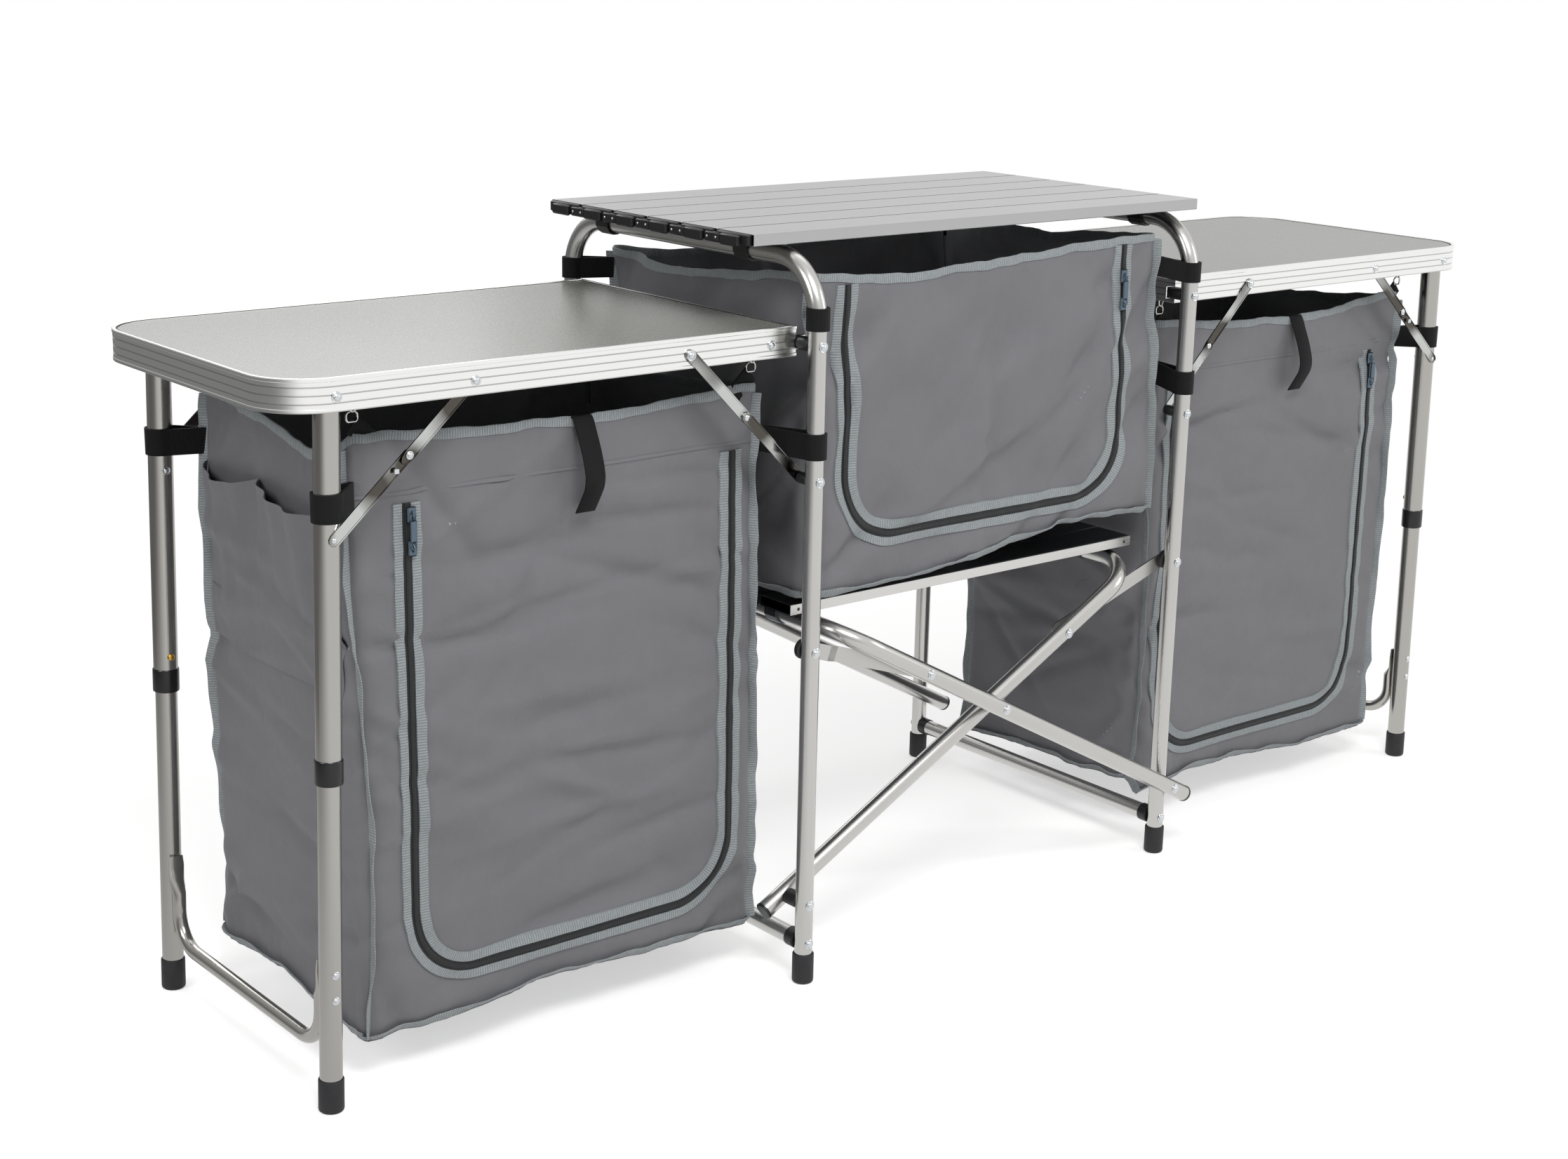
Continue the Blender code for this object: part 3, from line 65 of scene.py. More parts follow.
bpy.context.scene.view_settings.view_transform = "Standard"


# Studio: a pale floor that runs to the horizon, and large soft lamps in front,
# above and behind, as for a catalogue photograph. What metal mirrors of the
# floor and the sky gets darker towards the back left.
def linear(code):
    """sRGB hex code turned to linear colour with alpha 1."""
    parts = np.array([int(code[i:i + 2], 16) for i in (1, 3, 5)]) / 255
    flat = np.where(parts <= 0.04045, parts / 12.92, ((parts + 0.055) / 1.055) ** 2.4)
    return (*(float(value) for value in flat), 1.0)


def add_node(tree, kind, inputs=None, **settings):
    """Adds a node; inputs are values, or sockets of other nodes to link."""
    node = tree.nodes.new(kind)
    for name, value in settings.items():
        setattr(node, name, value)
    for name, value in (inputs or {}).items():
        if isinstance(value, bpy.types.NodeSocket):
            tree.links.new(value, node.inputs[name])
        else:
            node.inputs[name].default_value = value
    return node


def make_floor():
    """Floor that fades to white for the camera 2.3 m out, takes shadows near the
    object, and shows mirrored rays an even glow that is darker at the back left."""
    mesh = bpy.data.meshes.new("studio_floor")
    reach = 30.0
    corners = [(-reach, -reach, 0), (reach, -reach, 0), (reach, reach, 0), (-reach, reach, 0)]
    mesh.from_pydata(corners, [], [(0, 1, 2, 3)])
    floor = bpy.data.objects.new("studio_floor", mesh)
    bpy.context.scene.collection.objects.link(floor)
    paint = bpy.data.materials.new("pale_studio_floor")
    paint.use_nodes = True
    tree = paint.node_tree
    tree.nodes.clear()
    matte = add_node(tree, "ShaderNodeBsdfDiffuse", {"Color": linear("#F7F7F6")})
    glow = add_node(tree, "ShaderNodeEmission", {"Color": (1, 1, 1, 1), "Strength": 0.50})
    near = add_node(tree, "ShaderNodeAddShader", {0: matte.outputs[0], 1: glow.outputs[0]})
    white = add_node(tree, "ShaderNodeEmission", {"Color": (1, 1, 1, 1), "Strength": 1.0})
    place = add_node(tree, "ShaderNodeTexCoord")
    away = add_node(tree, "ShaderNodeVectorMath", {0: place.outputs["Object"]}, operation="LENGTH")
    fade = add_node(tree, "ShaderNodeMapRange", {
        "Value": away.outputs["Value"], "From Min": 0.7, "From Max": 2.3},
        interpolation_type="SMOOTHSTEP")
    both = add_node(tree, "ShaderNodeMixShader", {
        0: fade.outputs[0], 1: near.outputs[0], 2: white.outputs[0]})
    rays = add_node(tree, "ShaderNodeLightPath")
    lean = add_node(tree, "ShaderNodeVectorMath", {
        0: place.outputs["Object"], 1: (0.7, -0.7, 0)}, operation="DOT_PRODUCT")
    shaded = add_node(tree, "ShaderNodeMapRange", {
        "Value": lean.outputs["Value"], "From Min": -2.6, "From Max": 0.2,
        "To Min": 0.20, "To Max": 1.0})
    mirrored = add_node(tree, "ShaderNodeEmission", {
        "Color": (1, 1, 1, 1), "Strength": shaded.outputs[0]})
    lit = add_node(tree, "ShaderNodeMixShader", {
        0: rays.outputs["Is Glossy Ray"], 1: matte.outputs[0], 2: mirrored.outputs[0]})
    pick = add_node(tree, "ShaderNodeMixShader", {
        0: rays.outputs["Is Camera Ray"], 1: lit.outputs[0], 2: both.outputs[0]})
    add_node(tree, "ShaderNodeOutputMaterial", {"Surface": pick.outputs[0]})
    mesh.materials.append(paint)


def make_sky():
    """Dim even light all round, white to the camera; mirrored rays see a ramp
    from dark at the back left to bright at the front right."""
    world = bpy.data.worlds.new("studio_world")
    bpy.context.scene.world = world
    world.use_nodes = True
    tree = world.node_tree
    tree.nodes.clear()
    rays = add_node(tree, "ShaderNodeLightPath")
    place = add_node(tree, "ShaderNodeTexCoord")
    facing = add_node(tree, "ShaderNodeVectorMath", {
        0: place.outputs["Generated"], 1: (0.75, -0.35, 0.55)}, operation="DOT_PRODUCT")
    ramp = add_node(tree, "ShaderNodeMapRange", {
        "Value": facing.outputs["Value"], "From Min": -0.7, "From Max": 0.5,
        "To Min": 0.22, "To Max": 0.95})
    seen = add_node(tree, "ShaderNodeMath", {
        0: rays.outputs["Is Camera Ray"], 1: rays.outputs["Is Transmission Ray"]},
        operation="MAXIMUM")
    soft = add_node(tree, "ShaderNodeMix", {
        0: rays.outputs["Is Glossy Ray"], 2: 0.27, 3: ramp.outputs[0]}, data_type="FLOAT")
    level_out = add_node(tree, "ShaderNodeMix", {
        0: seen.outputs[0], 2: soft.outputs[0], 3: 1.0}, data_type="FLOAT")
    shade = add_node(tree, "ShaderNodeBackground", {
        "Color": (1, 1, 1, 1), "Strength": level_out.outputs[0]})
    add_node(tree, "ShaderNodeOutputWorld", {"Surface": shade.outputs[0]})


def add_lamp(name, spot, aim, wide, tall, power, mirrored=True):
    """Soft box at spot that faces aim; mirrored says if metal reflects it."""
    lamp = bpy.data.lights.new(name, "AREA")
    lamp.shape = "RECTANGLE"
    lamp.size = wide
    lamp.size_y = tall
    lamp.energy = power
    item = bpy.data.objects.new(name, lamp)
    item.visible_glossy = mirrored
    bpy.context.scene.collection.objects.link(item)
    way = Vector(aim) - Vector(spot)
    item.matrix_world = Matrix.Translation(spot) @ way.to_track_quat("-Z", "Y").to_matrix().to_4x4()


make_floor()
make_sky()
add_lamp("front_softbox", (-1.2, -2.4, 3.3), (0.0, 0.0, 0.4), 1.5, 1.0, 68)
add_lamp("side_softbox", (3.2, -2.6, 2.2), (0.3, 0.0, 0.5), 1.2, 1.6, 18)
add_lamp("top_softbox", (0.3, 0.9, 3.2), (0.0, 0.0, 0.5), 3.0, 1.4, 11)
add_lamp("left_softbox", (-3.3, -0.3, 2.2), (-0.6, 0.0, 0.4), 1.2, 1.4, 26)
add_lamp("bounce_board", (1.7, -2.8, 0.7), (0.3, 0.0, 0.45), 2.0, 0.8, 11, mirrored=False)
add_lamp("back_softbox", (0.6, 3.6, 2.4), (0.0, 0.0, 0.5), 2.2, 1.4, 20)


# Centre frames: two upside-down U frames of 22 mm anodised aluminium tube,
# bent cold, each with a straight rail near the floor that is bolted between
# its legs. The right one stands 36 mm further back, so that they nest.
SIDES = {"left": -1, "right": 1}
FRAME_X = 0.333
FRAME_Y = {"left": (-0.263, 0.227), "right": (-0.227, 0.263)}
FRAME_TOP = 0.877
FRAME_TUBE = 0.011
FRAME_BEND = 0.070
FRAME_FOOT = 0.005
RAIL_Z = 0.052
RAIL_INSET = 0.0125


def rounded_path(corners, radius, steps=10):
    """Straight runs with each inner corner replaced by an arc of that radius,
    which touches both runs: centre on the bisector, radius / sin(half angle) away."""
    corners = np.asarray(corners, float)
    pieces = [corners[:1]]
    for before, corner, after in zip(corners[:-2], corners[1:-1], corners[2:]):
        into = (before - corner) / np.linalg.norm(before - corner)
        out = (after - corner) / np.linalg.norm(after - corner)
        opening = math.acos(float(np.clip(into @ out, -1, 1)))
        bisector = (into + out) / np.linalg.norm(into + out)
        centre = corner + bisector * radius / math.sin(opening / 2)
        first = corner + into * radius / math.tan(opening / 2) - centre
        axis = np.cross(into, out)
        axis /= np.linalg.norm(axis)
        angles = -(math.pi - opening) * np.linspace(0, 1, steps + 1)[:, None]
        pieces.append(centre + first * np.cos(angles) + np.cross(axis, first) * np.sin(angles))
    pieces.append(corners[-1:])
    return np.vstack(pieces)


def grid_part(points, wrap_u=False, wrap_v=False, paint=0):
    """Surface on a grid of points (rows u, columns v), with a UV map in metres
    that runs along the mean length of its rows and columns."""
    rows, columns = points.shape[:2]
    i = np.arange(rows if wrap_u else rows - 1)
    j = np.arange(columns if wrap_v else columns - 1)
    i, j = np.meshgrid(i, j, indexing="ij")
    i, j = i.ravel(), j.ravel()
    k, m = (i + 1) % rows, (j + 1) % columns
    quads = np.stack([i * columns + j, k * columns + j, k * columns + m, i * columns + m], 1)
    down = np.linalg.norm(np.roll(points, -1, 0) - points, axis=2).mean(1)
    over = np.linalg.norm(np.roll(points, -1, 1) - points, axis=2).mean(0)
    u = np.concatenate([[0], np.cumsum(down)])
    v = np.concatenate([[0], np.cumsum(over)])
    square = np.stack([
        np.stack([u[i], v[j]], 1), np.stack([u[i + 1], v[j]], 1),
        np.stack([u[i + 1], v[j + 1]], 1), np.stack([u[i], v[j + 1]], 1)], 1)
    return points.reshape(-1, 3), quads.tolist(), square.reshape(-1, 2), [paint] * len(quads)


def cap_part(ring, paint=0, back=False):
    """Flat cover over a ring of points."""
    face = list(range(len(ring)))
    if back:
        face.reverse()
    ring = np.asarray(ring, float)
    across = ring[len(ring) // 4] - ring[0]
    up = ring[len(ring) // 2] - ring[0]
    flat = np.stack([(ring - ring[0]) @ across, (ring - ring[0]) @ up], 1)
    return ring, [face], flat[face], [paint]


def faced_out(parts):
    """Turns a closed shell round if its volume, the sum of a . (b x c) / 6 over
    its triangles, comes out negative."""
    volume = 0.0
    for points, faces, _, _ in parts:
        width = len(faces[0])
        corners = points[np.array(faces)]
        first = corners[:, 0]
        for index in range(1, width - 1):
            cross = np.cross(corners[:, index], corners[:, index + 1])
            volume += float((first * cross).sum())
    if volume > 0:
        return parts
    turned = []
    for points, faces, corners, paints in parts:
        width = len(faces[0])
        square = np.asarray(corners).reshape(-1, width, 2)[:, ::-1].reshape(-1, 2)
        turned.append((points, [face[::-1] for face in faces], square, paints))
    return turned


def capped(rings):
    """Closed shell through rings of points, with a flat cover at both ends."""
    return faced_out([grid_part(rings, wrap_v=True), cap_part(rings[0]),
                      cap_part(rings[-1], back=True)])


def make_piece(name, parts, finish, body, stands_for=(), crease=40):
    """Joins parts into one mesh object with its finish, on its CAD body."""
    points, faces, corners, paints = [], [], [], []
    start = 0
    for part_points, part_faces, part_corners, part_paints in parts:
        points.append(part_points)
        faces += [[index + start for index in face] for face in part_faces]
        corners.append(part_corners)
        paints += part_paints
        start += len(part_points)
    mesh = bpy.data.meshes.new(name)
    mesh.from_pydata(np.vstack(points).tolist(), [], faces)
    layer = mesh.uv_layers.new(name="metres")
    layer.data.foreach_set("uv", np.vstack(corners).astype(np.float32).ravel())
    finishes = finish if isinstance(finish, (list, tuple)) else [finish]
    for item in finishes:
        mesh.materials.append(item)
    mesh.polygons.foreach_set("material_index", paints)
    mesh.polygons.foreach_set("use_smooth", [True] * len(faces))
    mesh.update()
    mesh.set_sharp_from_angle(angle=math.radians(crease))
    piece = bpy.data.objects.new(name, mesh)
    bpy.context.scene.collection.objects.link(piece)
    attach(piece, body)
    if stands_for:
        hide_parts(*stands_for)
    return piece


def carry(profile, path, normal, closed=False, sizes=None):
    """Profile (across, along) carried on a flat path: each ring is
    path + across * normal + along * (normal x tangent). Sizes, where given,
    are the profile's two coordinates ring by ring."""
    path = np.asarray(path, float)
    normal = np.asarray(normal, float)
    if closed:
        ahead = np.roll(path, -1, 0) - path
        ahead /= np.linalg.norm(ahead, axis=1)[:, None]
        tangents = ahead + np.roll(ahead, 1, 0)
    else:
        steps = np.diff(path, axis=0)
        steps /= np.linalg.norm(steps, axis=1)[:, None]
        tangents = np.vstack([steps[:1], steps[:-1] + steps[1:], steps[-1:]])
        ahead = np.vstack([steps, steps[-1:]])
    tangents /= np.linalg.norm(tangents, axis=1)[:, None]
    second = np.cross(normal, tangents)
    second /= np.linalg.norm(second, axis=1)[:, None]
    stretch = 1 / np.clip((tangents * ahead).sum(1), 0.4, 1)
    profile = np.asarray(profile, float)
    if sizes is None:
        across = np.broadcast_to(profile[:, 0], (len(path), len(profile)))
        along = np.broadcast_to(profile[:, 1], (len(path), len(profile)))
    else:
        across, along = sizes
    rings = path[:, None] + across[..., None] * normal
    rings = rings + (along * stretch[:, None])[..., None] * second[:, None]
    if closed:
        return faced_out([grid_part(rings, wrap_u=True, wrap_v=True)])
    return capped(rings)


def circle(radius, sides=28):
    """Points of a circle, radius * (cos, sin)."""
    turns = np.arange(sides) * 2 * math.pi / sides
    return radius * np.stack([np.cos(turns), np.sin(turns)], 1)


def revolve(profile, origin, axis, sides=28):
    """Profile (radius, height) turned about an axis through origin."""
    axis = np.asarray(axis, float) / np.linalg.norm(axis)
    helper = np.array([0, 0, 1.0]) if abs(axis[2]) < 0.9 else np.array([1.0, 0, 0])
    first = np.cross(helper, axis)
    first /= np.linalg.norm(first)
    second = np.cross(axis, first)
    unit = circle(1.0, sides)
    ring = unit[:, :1] * first + unit[:, 1:] * second
    profile = np.asarray(profile, float)
    points = np.asarray(origin) + profile[:, :1, None] * ring + profile[:, 1:, None] * axis
    return faced_out([grid_part(points, wrap_v=True), cap_part(points[0], back=True),
                      cap_part(points[-1])])


def new_finish(name, colour, metallic, roughness):
    """Material with a Principled shader, and its tree and shader to add to."""
    paint = bpy.data.materials.new(name)
    paint.use_nodes = True
    shader = paint.node_tree.nodes["Principled BSDF"]
    shader.inputs["Base Color"].default_value = linear(colour)
    shader.inputs["Metallic"].default_value = metallic
    shader.inputs["Roughness"].default_value = roughness
    return paint, paint.node_tree, shader


def drawn_aluminium(name, colour, roughness, source, scale, lines):
    """Anodised aluminium, drawn or extruded: fine lines along its length, which
    are a change of gloss more than of height. Scale is in cells to the metre: the
    lines are drawn about 1 mm apart, coarser than real ones, so that they show."""
    paint, tree, shader = new_finish(name, colour, 1.0, roughness)
    place = add_node(tree, "ShaderNodeTexCoord")
    stretch = add_node(tree, "ShaderNodeMapping", {
        "Vector": place.outputs[source], "Scale": scale})
    grain = add_node(tree, "ShaderNodeTexNoise", {
        "Vector": stretch.outputs[0], "Scale": 1.0, "Detail": 3.0})
    gloss = add_node(tree, "ShaderNodeMapRange", {
        "Value": grain.outputs["Fac"], "From Min": 0.3, "From Max": 0.7,
        "To Min": roughness - 0.07 * lines, "To Max": roughness + 0.12 * lines})
    tree.links.new(gloss.outputs[0], shader.inputs["Roughness"])
    cloudy = add_node(tree, "ShaderNodeTexNoise", {
        "Vector": place.outputs["Object"], "Scale": 9.0, "Detail": 2.0})
    dark, pale = (np.array(linear(colour))[:3] * share for share in (0.96, 1.03))
    tone = add_node(tree, "ShaderNodeMix", {
        0: cloudy.outputs["Fac"], 6: (*dark, 1), 7: (*pale, 1)}, data_type="RGBA")
    tree.links.new(tone.outputs[2], shader.inputs["Base Color"])
    bump = add_node(tree, "ShaderNodeBump", {
        "Height": grain.outputs["Fac"], "Strength": 0.25 * lines, "Distance": 0.00006})
    tree.links.new(bump.outputs[0], shader.inputs["Normal"])
    return paint


# The tubes' satin anodising gives long soft highlights. The spark-eroded mould
# leaves the black plastic a fine grain, drawn at 1 mm so that it shows.
tube_metal = drawn_aluminium("anodised_drawn_tube", "#C6C5C2", 0.24, "UV", (3, 900, 1), 0.35)
black_plastic, black_tree, black_shader = new_finish("moulded_black_plastic", "#17171A", 0.0, 0.42)
black_spark = add_node(black_tree, "ShaderNodeTexNoise", {
    "Vector": add_node(black_tree, "ShaderNodeTexCoord").outputs["Object"],
    "Scale": 900.0, "Detail": 2.0})
black_bump = add_node(black_tree, "ShaderNodeBump", {
    "Height": black_spark.outputs["Fac"], "Strength": 0.2, "Distance": 0.0002})
black_tree.links.new(black_bump.outputs[0], black_shader.inputs["Normal"])

rail_plug = [(0.0100, 0.0095), (0.0121, 0.0100), (0.0121, 0.0235), (0.0114, 0.0242)]
for name, side in SIDES.items():
    front, rear = FRAME_Y[name]
    x = side * FRAME_X
    corners = [(x, front, FRAME_FOOT), (x, front, FRAME_TOP),
               (x, rear, FRAME_TOP), (x, rear, FRAME_FOOT)]
    hoop = carry(circle(FRAME_TUBE), rounded_path(corners, FRAME_BEND, 14), (1, 0, 0))
    make_piece(f"{name}_hoop", hoop, tube_metal, f"{name}_frame", [f"{name}_frame_tube"])
    rail_ends = [(x, front + RAIL_INSET, RAIL_Z), (x, rear - RAIL_INSET, RAIL_Z)]
    rail = carry(circle(FRAME_TUBE), rail_ends, (1, 0, 0))
    make_piece(f"{name}_floor_rail", rail, tube_metal, f"{name}_frame", [f"{name}_frame_rail"])
    plugs = []
    for y, way in ((front, 1), (rear, -1)):
        plugs += revolve(rail_plug, (x, y, RAIL_Z), (0, way, 0))
    make_piece(f"{name}_rail_plugs", plugs, black_plastic, f"{name}_frame")


# Rubber boots: pushed on the ends of the centre legs and of the telescopic
# legs, moulded black rubber with a soft edge round the sole.
rubber, rubber_tree, rubber_shader = new_finish("moulded_black_rubber", "#1B1B1D", 0.0, 0.58)
rubber_place = add_node(rubber_tree, "ShaderNodeTexCoord")
rubber_dust = add_node(rubber_tree, "ShaderNodeTexNoise", {
    "Vector": rubber_place.outputs["Object"], "Scale": 120.0, "Detail": 4.0})
rubber_tone = add_node(rubber_tree, "ShaderNodeMix", {
    0: rubber_dust.outputs["Fac"], 6: linear("#161618"), 7: linear("#2A2A2D")},
    data_type="RGBA")
rubber_tree.links.new(rubber_tone.outputs[2], rubber_shader.inputs["Base Color"])


def boot_profile(tube, outside, height):
    """From the middle of the sole out and up to the lip round the tube."""
    turns = np.radians([0, 30, 60, 90])
    edge = 0.0035
    sole = np.stack([outside - edge + edge * np.sin(turns), edge - edge * np.cos(turns)], 1)
    lip = [(outside, height - 0.0012), (outside - 0.0006, height), (tube + 0.0003, height),
           (tube + 0.0003, height - 0.004)]
    return np.vstack([[(0.0005, 0.0006), (outside * 0.55, 0.0006), (outside * 0.6, 0.0)], sole, lip])


for name, side in SIDES.items():
    for y, place in zip(FRAME_Y[name], ("front", "rear")):
        boot = revolve(boot_profile(FRAME_TUBE, 0.0132, 0.038), (side * FRAME_X, y, 0), (0, 0, 1))
        make_piece(f"{name}_boot_{place}", boot, rubber, f"{name}_frame",
                   [f"{name}_frame_foot_{place}"])


# Rivets and spacers of the centre frames: zinc-plated tubular rivets with
# domed heads in a dished ring, and black plastic discs that keep the links,
# the arms and the tables off the legs.
HINGE_Z = 0.781
STRUT_PIVOT_Z = 0.624
LINK_PIVOT_Z = 0.420
ARM_PIVOT_Z = 0.102


def worn_finish(name, colour, metallic, roughness, scale, low, high, detail=2.0):
    """Finish with handling marks, 1 / scale metres apart, whose roughness runs
    from low to high."""
    paint, tree, shader = new_finish(name, colour, metallic, roughness)
    marks = add_node(tree, "ShaderNodeTexNoise", {
        "Vector": add_node(tree, "ShaderNodeTexCoord").outputs["Object"],
        "Scale": scale, "Detail": detail})
    gloss = add_node(tree, "ShaderNodeMapRange", {
        "Value": marks.outputs["Fac"], "To Min": low, "To Max": high})
    tree.links.new(gloss.outputs[0], shader.inputs["Roughness"])
    return paint


def rivet_parts(spot, way, size=1.0, proud=0.0):
    """Domed head in a thin dished ring; way points out of the surface."""
    turns = np.radians([90, 70, 50, 30, 12])
    dome = np.stack([0.0041 * np.sin(turns), 0.0006 + 0.0023 * np.cos(turns)], 1)
    ring = [(0.0062, -0.0006), (0.0062, 0.0005), (0.0056, 0.0009), (0.0048, 0.0006)]
    profile = np.vstack([ring, dome]) * size
    profile[:, 1] += proud
    return revolve(profile, spot, way, 20)


# Bright zinc plating mirrors the room in each small dome.
rivet_metal = worn_finish("zinc_plated_rivet", "#D5D8DA", 1.0, 0.16, 400.0, 0.10, 0.30)
table_spacer = [(0.0076, 0.0095), (0.0082, 0.0110), (0.0082, 0.0290), (0.0060, 0.0292)]
strut_spacer = [(0.0066, 0.0095), (0.0070, 0.0100), (0.0070, 0.0253), (0.0040, 0.0255)]
link_spacer = [(0.0100, 0.0080), (0.0125, 0.0095), (0.0125, 0.0147), (0.0060, 0.0149)]
arm_spacer = [(0.0085, 0.0080), (0.0098, 0.0095), (0.0098, 0.0285)]
for name, side in SIDES.items():
    heads = []
    spacers = []
    for y, way in zip(FRAME_Y[name], (-1, 1)):
        for height in (HINGE_Z, STRUT_PIVOT_Z, LINK_PIVOT_Z, ARM_PIVOT_Z, RAIL_Z):
            if height == ARM_PIVOT_Z and name == "right":
                continue
            heads += rivet_parts((side * FRAME_X, y + way * FRAME_TUBE, height), (0, way, 0))
        spacers += revolve(table_spacer, (side * FRAME_X, y, HINGE_Z), (0, -way, 0))
        spacers += revolve(strut_spacer, (side * FRAME_X, y, STRUT_PIVOT_Z), (0, -way, 0))
        spacers += revolve(link_spacer, (side * FRAME_X, y, LINK_PIVOT_Z), (0, 1, 0))
        if name == "left":
            spacers += revolve(arm_spacer, (side * FRAME_X, y, ARM_PIVOT_Z), (0, 1, 0))
    make_piece(f"{name}_frame_rivets", heads, rivet_metal, f"{name}_frame")
    make_piece(f"{name}_frame_spacers", spacers, black_plastic, f"{name}_frame")


# Crossed arms: U-shaped 22 mm tubes that cross at a rivet on each side. The
# near arm runs up to the left and the far one up to the right; their ends are
# closed with black plugs.
ARM_ANGLE = math.radians(28.3)
ARM_BEND = 0.060
TO_CROSSING = FRAME_X / math.cos(ARM_ANGLE)
ARM_REACH = TO_CROSSING + 0.3016
ARM_OVERHANG = 0.033
ARM_DEPTHS = {"arm_a": (-0.2231, 0.2669), "arm_b": (-0.2494, 0.2406)}
CROSSING_Z = ARM_PIVOT_Z + TO_CROSSING * math.sin(ARM_ANGLE)
LINK_SPOT = TO_CROSSING + 0.1518


def along_arm(side, distance):
    """Point on an arm's line, from its lower pivot on that side."""
    return (side * (FRAME_X - distance * math.cos(ARM_ANGLE)),
            ARM_PIVOT_Z + distance * math.sin(ARM_ANGLE))


arm_cap = [(0.0095, -0.001), (0.0113, -0.0005), (0.0113, 0.0022), (0.0100, 0.0030)]
crossing_spacer = [(0.0080, 0.0090), (0.0096, 0.0095), (0.0096, 0.0150), (0.0080, 0.0152)]
bar_wrap = [(0.0110, 0.0), (0.0128, 0.0006), (0.0128, 0.0214), (0.0110, 0.022)]
for name, side in (("arm_a", -1), ("arm_b", 1)):
    front, rear = ARM_DEPTHS[name]
    low_x, low_z = along_arm(side, -ARM_OVERHANG)
    high_x, high_z = along_arm(side, ARM_REACH)
    corners = [(low_x, front, low_z), (high_x, front, high_z),
               (high_x, rear, high_z), (low_x, rear, low_z)]
    lean = (math.sin(ARM_ANGLE) * side, 0, math.cos(ARM_ANGLE))
    arm = carry(circle(FRAME_TUBE), rounded_path(corners, ARM_BEND, 14), lean)
    make_piece(f"{name}_hoop", arm, tube_metal, name, [f"{name}_tube"])
    ends = []
    heads = []
    down = (side * math.cos(ARM_ANGLE), 0, -math.sin(ARM_ANGLE))
    for y, way in ((front, -1), (rear, 1)):
        ends += revolve(arm_cap, (low_x, y, low_z), down)
        x, z = along_arm(side, LINK_SPOT)
        heads += rivet_parts((x, y + way * FRAME_TUBE, z), (0, way, 0))
        if name == "arm_b":
            heads += rivet_parts((0, y + way * FRAME_TUBE, CROSSING_Z), (0, way, 0))
            heads += rivet_parts((FRAME_X, y + way * FRAME_TUBE, ARM_PIVOT_Z), (0, way, 0))
            ends += revolve(crossing_spacer, (0, y, CROSSING_Z), (0, 1, 0))
    make_piece(f"{name}_end_plugs", ends, black_plastic, name)
    make_piece(f"{name}_rivets", heads, rivet_metal, name)
    if name == "arm_a":
        wraps = []
        for middle in (-0.120, 0.140):
            wraps += revolve(bar_wrap, (high_x, middle - 0.011, high_z), (0, 1, 0))
        make_piece("arm_a_bar_sleeves", wraps, black_plastic, name)


# Links: flat aluminium bars that tie each arm to the opposite leg, and the
# folding struts, which are pressed from zinc-plated strip with raised edges.
# The CAD pieces keep their shape and get their finish here.
def repaint(finish, *names):
    """Gives the material slots of CAD nodes this finish."""
    for node_name in names:
        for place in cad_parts[node_name].material_slots:
            place.material = finish


bar_metal = drawn_aluminium("drawn_flat_bar", "#C2C1BE", 0.30, "Object", (40, 40, 900), 0.35)

# Polished strip mirrors dark and bright parts of the room in patches about
# 60 mm long; these are painted reflections, mixed into its base colour since the
# studio is plain.
strip_metal = worn_finish("polished_zinc_strip", "#A8A9A6", 1.0, 0.12, 240.0, 0.07, 0.20, 3.0)
strip_tree = strip_metal.node_tree
strip_shader = strip_tree.nodes["Principled BSDF"]
strip_reflection_cloud = add_node(strip_tree, "ShaderNodeTexNoise", {
    "Vector": add_node(strip_tree, "ShaderNodeTexCoord").outputs["Object"],
    "Scale": 17.0, "Detail": 1.0})
strip_reflection_mask = add_node(strip_tree, "ShaderNodeMapRange", {
    "Value": strip_reflection_cloud.outputs["Fac"], "From Min": 0.42, "From Max": 0.62})
# Painted reflection: dark and bright patches mixed into the strip's base colour.
strip_painted_reflection = add_node(strip_tree, "ShaderNodeMix", {
    0: strip_reflection_mask.outputs[0], 6: linear("#56524D"), 7: linear("#C6C8C5")}, data_type="RGBA")
strip_tree.links.new(strip_painted_reflection.outputs[2], strip_shader.inputs["Base Color"])
for name in SIDES:
    for place in ("front", "rear"):
        repaint(bar_metal, f"{name}_link_{place}")
        for kind in ("leg_strut_upper", "leg_strut_lower", "frame_strut_upper", "frame_strut_lower"):
            repaint(strip_metal, f"{name}_{kind}_{place}")


# Slat roll top and slat shelf: extruded aluminium slats strung on cords. They
# keep their CAD shape and get the anodised finish with its long drawing lines.
TOP_LEFT, TOP_RIGHT = -0.390, 0.350
TOP_FRONT, TOP_PITCH, TOP_SLAT = -0.216, 0.0676, 0.066
TOP_LOW, TOP_HIGH = 0.8913, 0.905
SLAT_LINE_PITCH = TOP_PITCH / 5
WAVE_PERIOD = 0.314  # metres between the bands of a wave texture of scale 1

# Satin anodising over five fine lines that the die leaves along each slat; the
# shelf's slats are painted darker, for the shade and the dark reflection of the
# centre cupboard that hangs above them.
slat_metal = drawn_aluminium("anodised_slat", "#B6B6B6", 0.26, "Object", (0.5, 900, 900), 0.06)
slat_tree = slat_metal.node_tree
slat_shader = slat_tree.nodes["Principled BSDF"]
slat_bands = add_node(slat_tree, "ShaderNodeTexWave", {
    "Vector": add_node(slat_tree, "ShaderNodeTexCoord").outputs["Object"],
    "Scale": WAVE_PERIOD / SLAT_LINE_PITCH, "Phase Offset": 2.2}, bands_direction="Y")
slat_line = add_node(slat_tree, "ShaderNodeMapRange", {
    "Value": slat_bands.outputs["Fac"], "From Min": 0.90, "From Max": 0.99})
slat_tone = add_node(slat_tree, "ShaderNodeMix", {
    0: slat_line.outputs[0], 6: slat_shader.inputs["Base Color"].links[0].from_socket,
    7: linear("#B4B3B4")}, data_type="RGBA")
